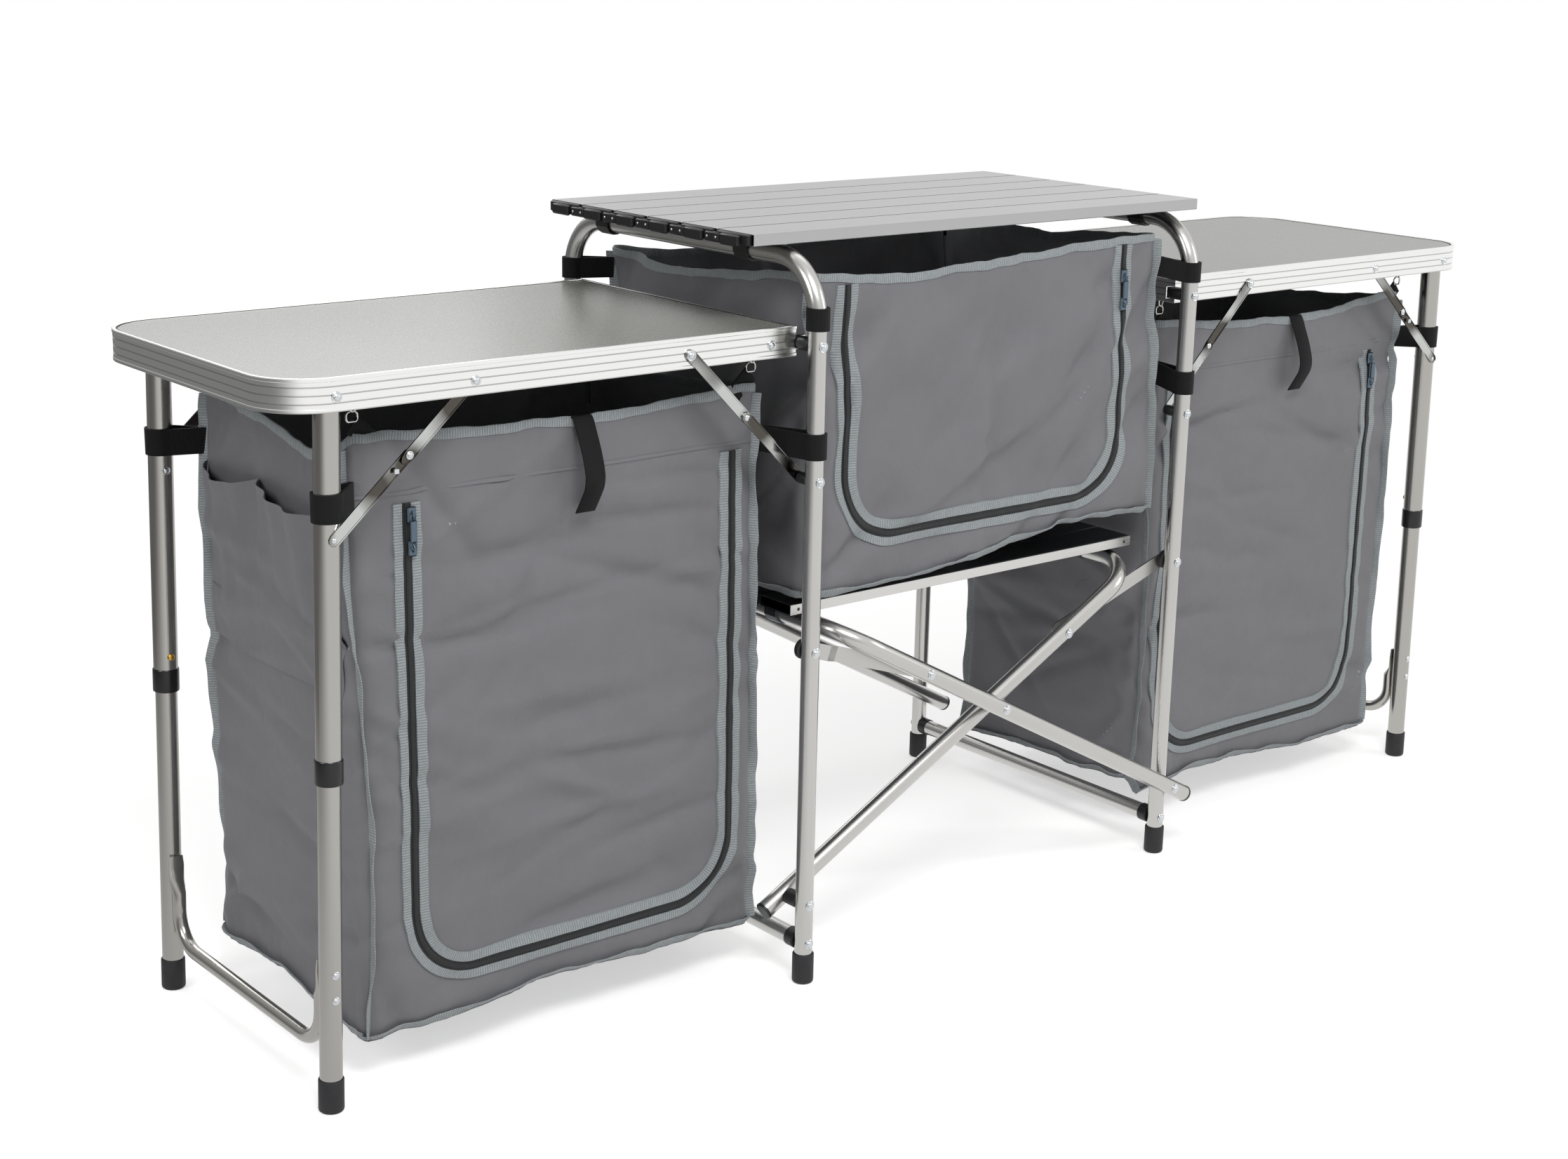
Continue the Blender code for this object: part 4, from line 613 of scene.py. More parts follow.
slat_tree.links.new(slat_tone.outputs[2], slat_shader.inputs["Base Color"])
# Painted shade and painted reflection: the shelf's dark base colour stands in for the shade and the
# reflection of the cupboard above it.
shelf_painted_shade_metal = drawn_aluminium("painted_shade_dark_slat", "#5B5E62", 0.33, "Object", (3, 1200, 1200), 0.4)
repaint(slat_metal, "slat_top")
repaint(shelf_painted_shade_metal, "slat_shelf")


def bevelled_block(low, high, edge=0.0008):
    """Block whose twelve edges are cut at 45 degrees: rings of an octagonal
    section, drawn in at both ends."""
    low, high = np.asarray(low, float), np.asarray(high, float)
    rings = []
    for z, inset in ((low[2], edge), (low[2] + edge, 0), (high[2] - edge, 0), (high[2], edge)):
        x0, y0, x1, y1 = low[0] + inset, low[1] + inset, high[0] - inset, high[1] - inset
        rings.append([(x0 + edge, y0, z), (x1 - edge, y0, z), (x1, y0 + edge, z),
                      (x1, y1 - edge, z), (x1 - edge, y1, z), (x0 + edge, y1, z),
                      (x0, y1 - edge, z), (x0, y0 + edge, z)])
    return capped(np.array(rings))


pin_head = [(0.0016, -0.0005), (0.0016, 0.0002), (0.0010, 0.0007), (0.0002, 0.0008)]
caps = []
pins = []
for index in range(6):
    near = TOP_FRONT + index * TOP_PITCH
    caps += bevelled_block((TOP_LEFT - 0.006, near + 0.004, TOP_LOW + 0.0004),
                           (TOP_LEFT + 0.0010, near + TOP_SLAT - 0.004, TOP_HIGH - 0.0006), 0.0012)
    caps += bevelled_block((TOP_RIGHT - 0.0010, near + 0.003, TOP_LOW + 0.0008),
                           (TOP_RIGHT + 0.0035, near + TOP_SLAT - 0.003, TOP_HIGH - 0.0010), 0.0012)
    caps += bevelled_block((TOP_LEFT - 0.0115, near + 0.016, TOP_LOW - 0.0012),
                           (TOP_LEFT - 0.0055, near + 0.050, TOP_HIGH - 0.0022), 0.0015)
for index in range(5):
    seam = TOP_FRONT + (index + 1) * TOP_PITCH - 0.0008
    caps += bevelled_block((TOP_LEFT - 0.0095, seam - 0.013, TOP_LOW - 0.0004),
                           (TOP_LEFT - 0.0008, seam + 0.013, TOP_HIGH - 0.0030), 0.0012)
    for shift in (-0.008, 0.008):
        pins += revolve(pin_head, (TOP_LEFT - 0.0095, seam + shift, TOP_LOW + 0.0052),
                        (-1, 0, 0), 12)
    # Painted shade: a thin black strip along each seam stands in for the shade in the gap between two
    # slats.
    caps += bevelled_block((TOP_LEFT + 0.0012, seam - 0.0010, TOP_HIGH - 0.0030),
                           (TOP_RIGHT - 0.0012, seam + 0.0010, TOP_HIGH + 0.00008), 0.0002)
make_piece("slat_top_end_caps_and_seam_shade", caps, black_plastic, "slat_top")
make_piece("slat_top_hinge_pins", pins, rivet_metal, "slat_top")


# Shelf edges: the front and rear slats end in a bright extruded lip, left its
# natural colour, with a small punched hole near each end.
SHELF_HALF = 0.297
SHELF_LOW, SHELF_TOP = 0.43739, 0.45109
SHELF_PITCH, SHELF_SEAM = 0.0606, 0.0016
SHELF_FRONT = -0.181
SHELF_REAR = SHELF_FRONT + 6 * SHELF_PITCH - SHELF_SEAM
lip_metal = drawn_aluminium("bright_slat_lip", "#D6D5D2", 0.28, "Object", (5, 1200, 1200), 0.6)
lips = []
holes = []
for y, way in ((SHELF_FRONT, -1), (SHELF_REAR, 1)):
    low_y, high_y = sorted((y - way * 0.0004, y + way * 0.0012))
    lips += bevelled_block((-SHELF_HALF, low_y, SHELF_LOW + 0.0004),
                           (SHELF_HALF, high_y, SHELF_TOP - 0.0002), 0.0005)
    for x in (-SHELF_HALF + 0.012, SHELF_HALF - 0.012):
        holes += revolve([(0.0021, -0.0004), (0.0021, 0.0001), (0.0012, 0.0002)],
                         (x, y + way * 0.0012, SHELF_LOW + 0.0068), (0, way, 0), 14)
make_piece("shelf_lips", lips, lip_metal, "shelf")
make_piece("shelf_lip_holes", holes, black_plastic, "shelf")


# Saddle clips under the slat top: moulded black plastic, they hug the frame
# tube and are screwed to the outer slats.
for name in SIDES:
    repaint(black_plastic, f"{name}_saddle_clip_front", f"{name}_saddle_clip_rear")


# Side tables: a laminated board, warm grey and satin, set in a ribbed
# aluminium trim that is bent round the two outer corners and riveted.
TABLE_INNER, TABLE_OUTER = 0.339, 0.993
TABLE_HALF, TABLE_BEND = 0.215, 0.065
TRIM_LOW, TRIM_HIGH = 0.766, 0.801
MIDDLE_Y = {"left": -0.018, "right": 0.018}
HINGE_RIVET_X, FRAME_STRUT_X, LEG_STRUT_X, LEG_X = 0.375, 0.490, 0.766, 0.927
RIBS = (0.7750, 0.7835, 0.7920)
RIM_LINE = 0.7965

# Pressed laminate with a faint mottle, satin enough to mirror the room softly.
laminate, laminate_tree, laminate_shader = new_finish("satin_laminate", "#81817B", 0.0, 0.16)
laminate_place = add_node(laminate_tree, "ShaderNodeTexCoord").outputs["Object"]
laminate_cloud = add_node(laminate_tree, "ShaderNodeTexNoise", {
    "Vector": laminate_place, "Scale": 5.0, "Detail": 3.0})
laminate_tone = add_node(laminate_tree, "ShaderNodeMix", {
    0: laminate_cloud.outputs["Fac"], 6: linear("#7C7C76"), 7: linear("#868681")},
    data_type="RGBA")
laminate_tree.links.new(laminate_tone.outputs[2], laminate_shader.inputs["Base Color"])
laminate_grain = add_node(laminate_tree, "ShaderNodeTexVoronoi", {
    "Vector": laminate_place, "Scale": 900.0}, feature="SMOOTH_F1")
laminate_gloss = add_node(laminate_tree, "ShaderNodeMapRange", {
    "Value": laminate_grain.outputs["Distance"], "To Min": 0.22, "To Max": 0.32})
laminate_tree.links.new(laminate_gloss.outputs[0], laminate_shader.inputs["Roughness"])
laminate_bump = add_node(laminate_tree, "ShaderNodeBump", {
    "Height": laminate_grain.outputs["Distance"], "Strength": 0.05, "Distance": 0.0001})
laminate_tree.links.new(laminate_bump.outputs[0], laminate_shader.inputs["Normal"])

# Three grooves run round the extruded trim. Below its rim they are darkened in
# the material too, as their shaded insides are too narrow to show.
trim_metal = drawn_aluminium("anodised_ribbed_trim", "#F2F2F0", 0.20, "Object", (2, 2, 700), 0.30)
trim_tree = trim_metal.node_tree
trim_shader = trim_tree.nodes["Principled BSDF"]
trim_place = add_node(trim_tree, "ShaderNodeTexCoord")
trim_split = add_node(trim_tree, "ShaderNodeSeparateXYZ", {"Vector": trim_place.outputs["Object"]})
trim_offset = add_node(trim_tree, "ShaderNodeMath", {
    0: trim_split.outputs["Z"], 1: RIBS[0]}, operation="SUBTRACT")
trim_near = add_node(trim_tree, "ShaderNodeMath", {
    0: trim_offset.outputs[0], 1: (RIBS[1] - RIBS[0]) / 2}, operation="PINGPONG")
trim_groove = add_node(trim_tree, "ShaderNodeMapRange", {
    "Value": trim_near.outputs[0], "From Min": 0.0004, "From Max": 0.0010,
    "To Min": 0.58, "To Max": 1.0})
trim_lip = add_node(trim_tree, "ShaderNodeMath", {
    0: trim_split.outputs["Z"], 1: RIM_LINE}, operation="GREATER_THAN")
trim_mask = add_node(trim_tree, "ShaderNodeMath", {
    0: trim_groove.outputs[0], 1: trim_lip.outputs[0]}, operation="MAXIMUM")
trim_shade = add_node(trim_tree, "ShaderNodeMix", {
    0: trim_mask.outputs[0], 6: linear("#5C5A57"), 7: linear("#F2F2F0")}, data_type="RGBA")
trim_tree.links.new(trim_shade.outputs[2], trim_shader.inputs["Base Color"])


def table_line(name, inset):
    """Outline of a table, drawn in by inset: two square corners at the hinge
    and two round ones outside, counter-clockwise from above."""
    half = TABLE_HALF - inset
    corners = [(TABLE_INNER + inset, -half, 0), (TABLE_OUTER - inset, -half, 0),
               (TABLE_OUTER - inset, half, 0), (TABLE_INNER + inset, half, 0)]
    line = rounded_path(corners, TABLE_BEND - inset, 18)
    line[:, 0] *= SIDES[name]
    line[:, 1] += MIDDLE_Y[name]
    return line if name == "right" else line[::-1]


def table_panel(name, levels):
    """Sheet with a table's outline: one ring for each (inset, height)."""
    rings = []
    for inset, z in levels:
        ring = table_line(name, inset)
        rings.append(np.column_stack([ring[:, :2], np.full(len(ring), z)]))
    return capped(np.array(rings))


# Section of the trim as (height, inset): outside from the bottom up, over the
# rim, and back under the board.
outer_face = [(TRIM_LOW, 0.0016), (TRIM_LOW, 0.0003), (TRIM_LOW + 0.0004, 0.0),
              (TRIM_LOW + 0.0034, 0.0), (TRIM_LOW + 0.0040, 0.0005)]
for rib in RIBS:
    outer_face += [(rib - 0.0007, 0.0006), (rib - 0.0004, 0.0011), (rib + 0.0004, 0.0011),
                   (rib + 0.0007, 0.0006)]
outer_face += [(TRIM_HIGH - 0.0042, 0.0005), (TRIM_HIGH - 0.0036, 0.0), (TRIM_HIGH - 0.0008, 0.0),
               (TRIM_HIGH, 0.0008), (TRIM_HIGH, 0.0040), (TRIM_HIGH - 0.0005, 0.0046),
               (TRIM_HIGH - 0.0014, 0.0046), (TRIM_HIGH - 0.0014, 0.0022),
               (TRIM_HIGH - 0.0043, 0.0022), (TRIM_HIGH - 0.0043, 0.0120),
               (TRIM_HIGH - 0.0057, 0.0120), (TRIM_HIGH - 0.0057, 0.0016)]
for name, side in SIDES.items():
    body = f"{name}_table"
    trim = carry(outer_face, table_line(name, 0.0), (0, 0, 1), closed=True)
    plates = []
    heads = []
    blocks = []
    middle = MIDDLE_Y[name]
    for way in (-1, 1):
        wall = middle + way * (TABLE_HALF - 0.0017)
        low_y, high_y = sorted((wall, wall - way * 0.0020))
        low_x, high_x = sorted((side * 0.3245, side * 0.3850))
        plates += bevelled_block((low_x, low_y, HINGE_Z - 0.0085), (high_x, high_y, HINGE_Z + 0.0085))
        face = middle + way * TABLE_HALF
        for x in (HINGE_RIVET_X, FRAME_STRUT_X, LEG_STRUT_X, LEG_X):
            heads += rivet_parts((side * x, face, HINGE_Z), (0, way, 0), 0.95, -0.0004)
        for x, reach, radius in ((LEG_X, 0.0085, 0.0060), (LEG_STRUT_X, 0.0042, 0.0050)):
            blocks += revolve([(radius, 0.0), (radius, reach)],
                              (side * x, wall + way * 0.0004, HINGE_Z), (0, -way, 0), 20)
    make_piece(f"{name}_edge_trim", trim + plates, trim_metal, body, [f"{name}_trim"], 30)
    make_piece(f"{name}_trim_rivets", heads + blocks, rivet_metal, body)
    board = table_panel(name, [(0.0066, 0.7970), (0.0066, 0.7996), (0.0070, 0.8000)])
    make_piece(f"{name}_laminate_board", board, laminate, body, [f"{name}_board"], 30)
    # A black sheet under the board shows dark in the narrow gap between the board and the trim.
    dark_gap_sheet = table_panel(name, [(0.0026, 0.7967), (0.0026, 0.7990), (0.0030, 0.7992)])
    make_piece(f"{name}_board_dark_gap_sheet", dark_gap_sheet, black_plastic, body, (), 30)


# Telescopic legs: 28 mm upper tube flattened to a round arch at its pivot, a
# 25 mm lower tube held by a brass snap button, and a black clamping collar.
LEG_SIDE_Y = 0.1928
SPLAY = math.radians(1.5)
UPPER_RADIUS, LOWER_RADIUS, BAR_RADIUS = 0.0140, 0.0125, 0.0080
UPPER_WALL, UPPER_ARCH = 0.0012, 0.0144
UPPER_END = 0.4055
LOWER_START, LOWER_END, SOLE = 0.330, 0.7765, 0.7813
STRUT_RIVET, BUTTON, BAR_SCREWS = 0.148, 0.367, (0.621, 0.650)
BAR_TOP, BAR_LOW, BAR_BEND = 0.655, 0.716, 0.042


def leg_point(name, across, depth, down):
    """Place on a leg: across it in the plane of the table end, depth along Y,
    down its length from the pivot."""
    across, depth, down = np.broadcast_arrays(*(np.asarray(v, float) for v in (across, depth, down)))
    x = LEG_X + down * math.sin(SPLAY) + across * math.cos(SPLAY)
    z = HINGE_Z - down * math.cos(SPLAY) + across * math.sin(SPLAY)
    return np.stack([SIDES[name] * x, depth + MIDDLE_Y[name], z], -1)


def arched_tube(name, depth, radius, end):
    """Tube whose top is an arch round the pivot: every line along the tube
    ends at sqrt(arch^2 - across^2) above it. Closed inside by a second wall."""
    turns = np.arange(36) * math.pi / 18
    inner = radius - UPPER_WALL
    rows = []
    for size, start in ((radius, None), (radius, end), (inner, end), (inner, None)):
        across, off = size * np.sin(turns), size * np.cos(turns)
        arch = -np.sqrt(UPPER_ARCH ** 2 - across ** 2) + (0.0 if size == radius else UPPER_WALL)
        down = arch if start is None else np.full(36, start)
        rows.append(leg_point(name, across, depth + off, down))
    return faced_out([grid_part(np.array(rows), wrap_u=True, wrap_v=True)])


# Turned brass with a dull polish, a collar from a polished mould, and the legs'
# anodising, a shade warmer and glossier than the frames'.
brass = worn_finish("turned_brass_button", "#D2A94E", 1.0, 0.24, 600.0, 0.16, 0.34)
gloss_black = worn_finish("glossy_black_collar", "#141416", 0.0, 0.22, 220.0, 0.16, 0.32)
leg_metal = drawn_aluminium("anodised_leg_tube", "#B2B0AB", 0.20, "UV", (3, 900, 1), 0.35)
collar = [(0.0129, 0.3830), (0.0142, 0.3826), (0.0150, 0.3835), (0.0152, 0.3850),
          (0.0152, 0.4080), (0.0149, 0.4096), (0.0142, 0.4100), (0.0129, 0.4098)]
button_tip = [(0.0040, 0.0131), (0.0040, 0.0156), (0.0036, 0.0166), (0.0026, 0.0173),
              (0.0003, 0.0176)]
for name, side in SIDES.items():
    down_axis = np.array([side * math.sin(SPLAY), 0, -math.cos(SPLAY)])
    lower = []
    screws = []
    for way, place in ((-1, "front"), (1, "rear")):
        depth = way * LEG_SIDE_Y
        upper = arched_tube(name, depth, UPPER_RADIUS, UPPER_END)
        make_piece(f"{name}_upper_tube_{place}", upper, leg_metal,
                   f"{name}_upper_legs", [f"{name}_upper_leg_{place}"])
        pivot = leg_point(name, 0, depth, 0)
        make_piece(f"{name}_clamp_collar_{place}",
                   revolve(collar, pivot, down_axis, 36), gloss_black, f"{name}_upper_legs")
        head = []
        for face in (-1, 1):
            spot = leg_point(name, 0, depth + face * 0.0138, STRUT_RIVET)
            head += rivet_parts(spot, (0, face, 0), 0.8)
        make_piece(f"{name}_leg_rivet_{place}", head, rivet_metal, f"{name}_upper_legs")
        button = revolve(button_tip, leg_point(name, 0, depth, BUTTON), (0, -way, 0), 22)
        make_piece(f"{name}_snap_button_{place}", button, brass,
                   f"{name}_{place}_button", [f"{name}_button_{place}"])
        path = [leg_point(name, 0, depth, LOWER_START), leg_point(name, 0, depth, LOWER_END)]
        lower += carry(circle(LOWER_RADIUS, 32), path, (0, 1, 0))
        boot = revolve(boot_profile(LOWER_RADIUS, 0.0141, 0.038), leg_point(name, 0, depth, SOLE),
                       -down_axis, 32)
        make_piece(f"{name}_leg_boot_{place}", boot, rubber, f"{name}_lower_legs",
                   [f"{name}_leg_foot_{place}"])
        for down in BAR_SCREWS:
            spot = leg_point(name, 0, depth + way * 0.0122, down)
            screws += rivet_parts(spot, (0, way, 0), 0.72)
    # The bar between the legs is a thinner tube, bent up at both ends and
    # pressed flat where it is screwed to the legs.
    run = LEG_SIDE_Y - LOWER_RADIUS - 0.0003 - BAR_RADIUS
    corners = [(0, run, BAR_TOP), (0, run, BAR_LOW), (0, -run, BAR_LOW), (0, -run, BAR_TOP)]
    track = rounded_path(corners, BAR_BEND, 12)
    ends = [(0, run + 0.0062, 0.610), (0, run + 0.0062, 0.622), (0, run + 0.0060, 0.640)]
    track = np.vstack([ends, track, [(0, -y, down) for _, y, down in reversed(ends)]])
    widths = np.full(len(track), BAR_RADIUS)
    depths = np.full(len(track), BAR_RADIUS)
    for index, (wide, thick) in enumerate(((0.0085, 0.0018), (0.0100, 0.0018), (0.0096, 0.0026))):
        for spot in (index, len(track) - 1 - index):
            widths[spot], depths[spot] = wide, thick
    ring = circle(1.0, 28)
    route = leg_point(name, 0, track[:, 1], track[:, 2])
    flat_normal = (math.cos(SPLAY), 0, side * math.sin(SPLAY))
    sizes = (widths[:, None] * ring[:, 0], depths[:, None] * ring[:, 1])
    spreader = carry(ring, route, flat_normal, sizes=sizes)
    make_piece(f"{name}_lower_legs_and_bar", lower + spreader, leg_metal, f"{name}_lower_legs",
               [f"{name}_lower_legs"])
    make_piece(f"{name}_bar_screws", screws, rivet_metal, f"{name}_lower_legs")


# Strut rivets: each folding strut turns on a domed rivet at both ends and at
# its knee, where a small lock tab stands in the overlap.
UPPER_HALF, LOWER_HALF = 0.148, 0.161
LEG_STRUT_Y, FRAME_STRUT_Y = 0.2111, 0.2172
leg_on_table = np.array([LEG_STRUT_X, HINGE_Z])
on_leg = (LEG_X + STRUT_RIVET * math.sin(SPLAY), HINGE_Z - STRUT_RIVET * math.cos(SPLAY))
leg_span = np.array(on_leg) - leg_on_table
leg_reach = float(np.hypot(*leg_span))
leg_knee = leg_on_table + leg_span / leg_reach * (leg_reach - LOWER_HALF + UPPER_HALF) / 2
frame_ends = np.array([(FRAME_STRUT_X, HINGE_Z), (FRAME_X, STRUT_PIVOT_Z)])
frame_knee = frame_ends.mean(0)
for name, side in SIDES.items():
    knee_heads = []
    frame_heads = []
    for way in (-1, 1):
        y = MIDDLE_Y[name] + way * LEG_STRUT_Y
        knee_heads += rivet_parts((side * leg_knee[0], y, leg_knee[1]), (0, way, 0), 0.72)
        tab = leg_knee + leg_span / leg_reach * 0.022
        low_y, high_y = sorted((y, y + way * 0.0018))
        knee_heads += bevelled_block((side * tab[0] - 0.0030, low_y, tab[1] - 0.0030),
                                     (side * tab[0] + 0.0030, high_y, tab[1] + 0.0030), 0.0006)
        y = MIDDLE_Y[name] + way * FRAME_STRUT_Y
        for spot in (frame_ends[0], frame_knee):
            frame_heads += rivet_parts((side * spot[0], y, spot[1]), (0, way, 0))
    make_piece(f"{name}_leg_strut_rivets", knee_heads, rivet_metal, f"{name}_leg_struts_upper")
    make_piece(f"{name}_frame_strut_rivets", frame_heads, rivet_metal, f"{name}_frame_struts_upper")


# Cupboards: grey coated polyester sewn into open boxes. The walls billow and
# crease, and every seam is bound with a ribbed blue-grey tape that stands out.
def zip_line(low_x, corners, radius):
    """Evenly spaced (along, height) points of a zip with rounded corners."""
    path = rounded_path([(x - low_x, 0.0, z) for x, z in corners], radius, 14)[:, [0, 2]]
    marks = np.concatenate([[0], np.cumsum(np.linalg.norm(np.diff(path, axis=0), axis=1))])
    even = np.linspace(0, marks[-1], int(marks[-1] / 0.005))
    return np.stack([np.interp(even, marks, path[:, 0]), np.interp(even, marks, path[:, 1])], 1)


def draw_folds(dice, around, bends, lean):
    """Folds of a wall as rows of places (along, share of the height), angles,
    lengths, widths and heights: long ones near the angle lean, the first of
    which spring from the corners instead, then fine ones at any angle."""
    long_count, corner_count, fine_count = 130, 24, 90
    along = dice.uniform(0, around, long_count)
    share = dice.uniform(0.05, 0.88, long_count)
    angle = dice.normal(lean, 0.34, long_count)
    length = dice.uniform(0.05, 0.17, long_count)
    width = dice.uniform(0.0078, 0.017, long_count) * (1 + 0.5 * lean)
    sign = dice.choice([-1, 1], long_count)
    height = sign * dice.uniform(0.0034, 0.0118, long_count) * (1 + 0.4 * lean)
    near = dice.integers(0, 4, corner_count)
    along[:corner_count] = bends[near] + dice.uniform(-0.09, 0.09, corner_count)
    level = dice.choice([0.05, 0.12, 0.5, 0.84, 0.93], corner_count)
    share[:corner_count] = level + dice.uniform(-0.04, 0.04, corner_count)
    slant = dice.choice([0.6, 0.9, 2.2, 2.5], corner_count)
    angle[:corner_count] = slant + dice.uniform(-0.2, 0.2, corner_count)
    ranges = ((0, around), (0, 1), (0, math.pi), (0.02, 0.06), (0.0055, 0.010),
              (-0.0019, 0.0019))
    fine = np.array([dice.uniform(least, most, fine_count) for least, most in ranges])
    return np.hstack([np.array([along, share, angle, length, width, height]), fine])


def bag_form(low_x, high_x, low_y, high_y, rim, base, seed, swell, zipper, lean=0.0, flare=0.0):
    """Wall of a cloth box as surface(along, up, lift): along is metres round it
    from its front left corner, up is 0 at the floor and 1 at the rim, lift is
    metres outwards. Displacement = swell * (1 - (1 - k)^2) * sin(pi up)^0.7, with
    k the distance to the nearest corner over 110 mm, plus the folds, each
    height * exp(-|across / width|^1.6 - (lengthwise / length)^2), a slow wave of
    4.2 mm, and gathers of 34 mm beside the rim and the floor; a tanh holds it
    under 13 mm. The zip stiffens the cloth within 20 mm. Folds lie near the angle
    lean, and the right end spreads by flare at the floor. Rim and base are lists
    of (along, height)."""
    corner = 0.020
    steps = np.linspace(0, math.pi / 2, 7)
    spots = []
    ways = []
    for cx, cy, start in ((high_x - corner, low_y + corner, -90), (high_x - corner, high_y - corner, 0),
                          (low_x + corner, high_y - corner, 90), (low_x + corner, low_y + corner, 180)):
        turn = np.stack([np.cos(steps + math.radians(start)), np.sin(steps + math.radians(start))], 1)
        spots.append(np.array([cx, cy]) + corner * turn)
        ways.append(turn)
    spots, ways = np.vstack(spots), np.vstack(ways)
    spots, ways = np.vstack([spots[-1:], spots]), np.vstack([ways[-1:], ways])
    marks = np.concatenate([[0], np.cumsum(np.linalg.norm(np.diff(spots, axis=0), axis=1))])
    marks += corner
    around = marks[-1] - marks[0]
    bends = marks[[4 + 7 * i for i in range(4)]]  # middle of each corner
    dice = np.random.default_rng(seed)
    fold_s, fold_t, fold_turn, fold_long, fold_wide, fold_high = draw_folds(dice, around, bends, lean)
    rim_s, rim_z = np.array(rim, float).T
    base_s, base_z = np.array(base, float).T

    def height(table_s, table_z, along):
        wave = sum(size * np.sin(2 * math.pi * along * round(around / pitch) / around + pitch * 900)
                   for size, pitch in ((0.0011, 0.21), (0.0007, 0.097), (0.0004, 0.043)))
        return np.interp(along % around, table_s, table_z, period=around) + wave

    def surface(along, up, lift=0.0):
        along, up, lift = np.broadcast_arrays(*(np.asarray(v, float) for v in (along, up, lift)))
        turn = (along - corner) % around + corner
        x = np.interp(turn, marks, spots[:, 0])
        x = x + flare * (1 - up) * np.clip((x - low_x) / (high_x - low_x) * 2 - 1, 0, 1)
        y = np.interp(turn, marks, spots[:, 1])
        nx = np.interp(turn, marks, ways[:, 0])
        ny = np.interp(turn, marks, ways[:, 1])
        low, high = height(base_s, base_z, along), height(rim_s, rim_z, along)
        tall = high - low
        gap = np.abs((along[..., None] - bends + around / 2) % around - around / 2).min(-1)
        reach = np.clip(gap / 0.11, 0, 1)
        puff = swell * (1 - (1 - reach) ** 2) * np.sin(math.pi * np.clip(up, 0.02, 0.98)) ** 0.7
        flat_s = along.reshape(-1, 1)
        flat_z = (up * tall).reshape(-1, 1)
        away = (flat_s - fold_s + around / 2) % around - around / 2
        rise = flat_z - fold_t * float(tall.mean())
        across = -away * np.sin(fold_turn) + rise * np.cos(fold_turn)
        lengthwise = away * np.cos(fold_turn) + rise * np.sin(fold_turn)
        folds = fold_high * np.exp(-np.abs(across / fold_wide) ** 1.6 - (lengthwise / fold_long) ** 2)
        folds = folds.sum(1).reshape(along.shape)
        folds += 0.0042 * np.sin(along * 19 + up * 6) * np.sin(up * 9 + along * 6)
        spots_z = low + tall * up
        calm = np.full(along.shape, 9.0)
        for start in range(0, len(zipper), 40):
            part = zipper[start:start + 40]
            far = (along[..., None] - part[:, 0]) ** 2 + (spots_z[..., None] - part[:, 1]) ** 2
            calm = np.minimum(calm, far.min(-1))
        folds *= 1 - 0.84 * np.exp(-calm / 0.019 ** 2)
        turns = 2 * math.pi * along / around
        uneven = 5.0 * np.sin(turns * 7) + 3.0 * np.sin(turns * 17)
        gathers = np.sin(turns * round(around / 0.034) + uneven)
        folds += 0.0010 * gathers * (np.exp((up - 1) * tall / 0.028) + 0.8 * np.exp(-up * tall / 0.030))
        most = 0.013
        out = most * np.tanh((puff + folds * np.clip(gap / 0.02, 0.25, 1)) / most) + lift
        return np.stack([x + nx * out, y + ny * out, low + tall * up], -1)

    return {"surface": surface, "around": around, "bends": bends, "low_x": low_x, "zip": zipper,
            "rim": lambda along: height(rim_s, rim_z, along),
            "base": lambda along: height(base_s, base_z, along)}


THREAD_SCALE = 290.0


def fabric(name, dark, light, strength):
    """Woven coated polyester: threads 0.55 mm apart drawn 1.1 mm apart so that
    they show, a mottled tone, and a soft crumple of the coating."""
    paint, tree, shader = new_finish(name, light, 0.0, 0.62)
    shader.inputs["Sheen Weight"].default_value = 0.10
    shader.inputs["Sheen Roughness"].default_value = 0.5
    place = add_node(tree, "ShaderNodeTexCoord")
    mottle = add_node(tree, "ShaderNodeTexNoise", {
        "Vector": place.outputs["Object"], "Scale": 26.0, "Detail": 6.0, "Roughness": 0.65})
    tone = add_node(tree, "ShaderNodeMix", {
        0: mottle.outputs["Fac"], 6: linear(dark), 7: linear(light)}, data_type="RGBA")
    tree.links.new(tone.outputs[2], shader.inputs["Base Color"])
    warp = add_node(tree, "ShaderNodeTexWave", {
        "Vector": place.outputs["UV"], "Scale": THREAD_SCALE, "Distortion": 0.4, "Detail": 1.0},
        bands_direction="X")
    weft = add_node(tree, "ShaderNodeTexWave", {
        "Vector": place.outputs["UV"], "Scale": THREAD_SCALE, "Distortion": 0.4, "Detail": 1.0},
        bands_direction="Y")
    woven = add_node(tree, "ShaderNodeMath", {
        0: warp.outputs["Fac"], 1: weft.outputs["Fac"]}, operation="MULTIPLY")
    threads = add_node(tree, "ShaderNodeBump", {
        "Height": woven.outputs[0], "Strength": 0.18 * strength, "Distance": 0.0003})
    crumple = add_node(tree, "ShaderNodeTexNoise", {
        "Vector": place.outputs["Object"], "Scale": 42.0, "Detail": 3.0, "Distortion": 0.6})
    soft = add_node(tree, "ShaderNodeBump", {
        "Height": crumple.outputs["Fac"], "Normal": threads.outputs[0],
        "Strength": 0.34 * strength, "Distance": 0.003})
    tree.links.new(soft.outputs[0], shader.inputs["Normal"])
    worn = add_node(tree, "ShaderNodeMapRange", {
        "Value": mottle.outputs["Fac"], "To Min": 0.50, "To Max": 0.68})
    tree.links.new(worn.outputs[0], shader.inputs["Roughness"])
    return paint


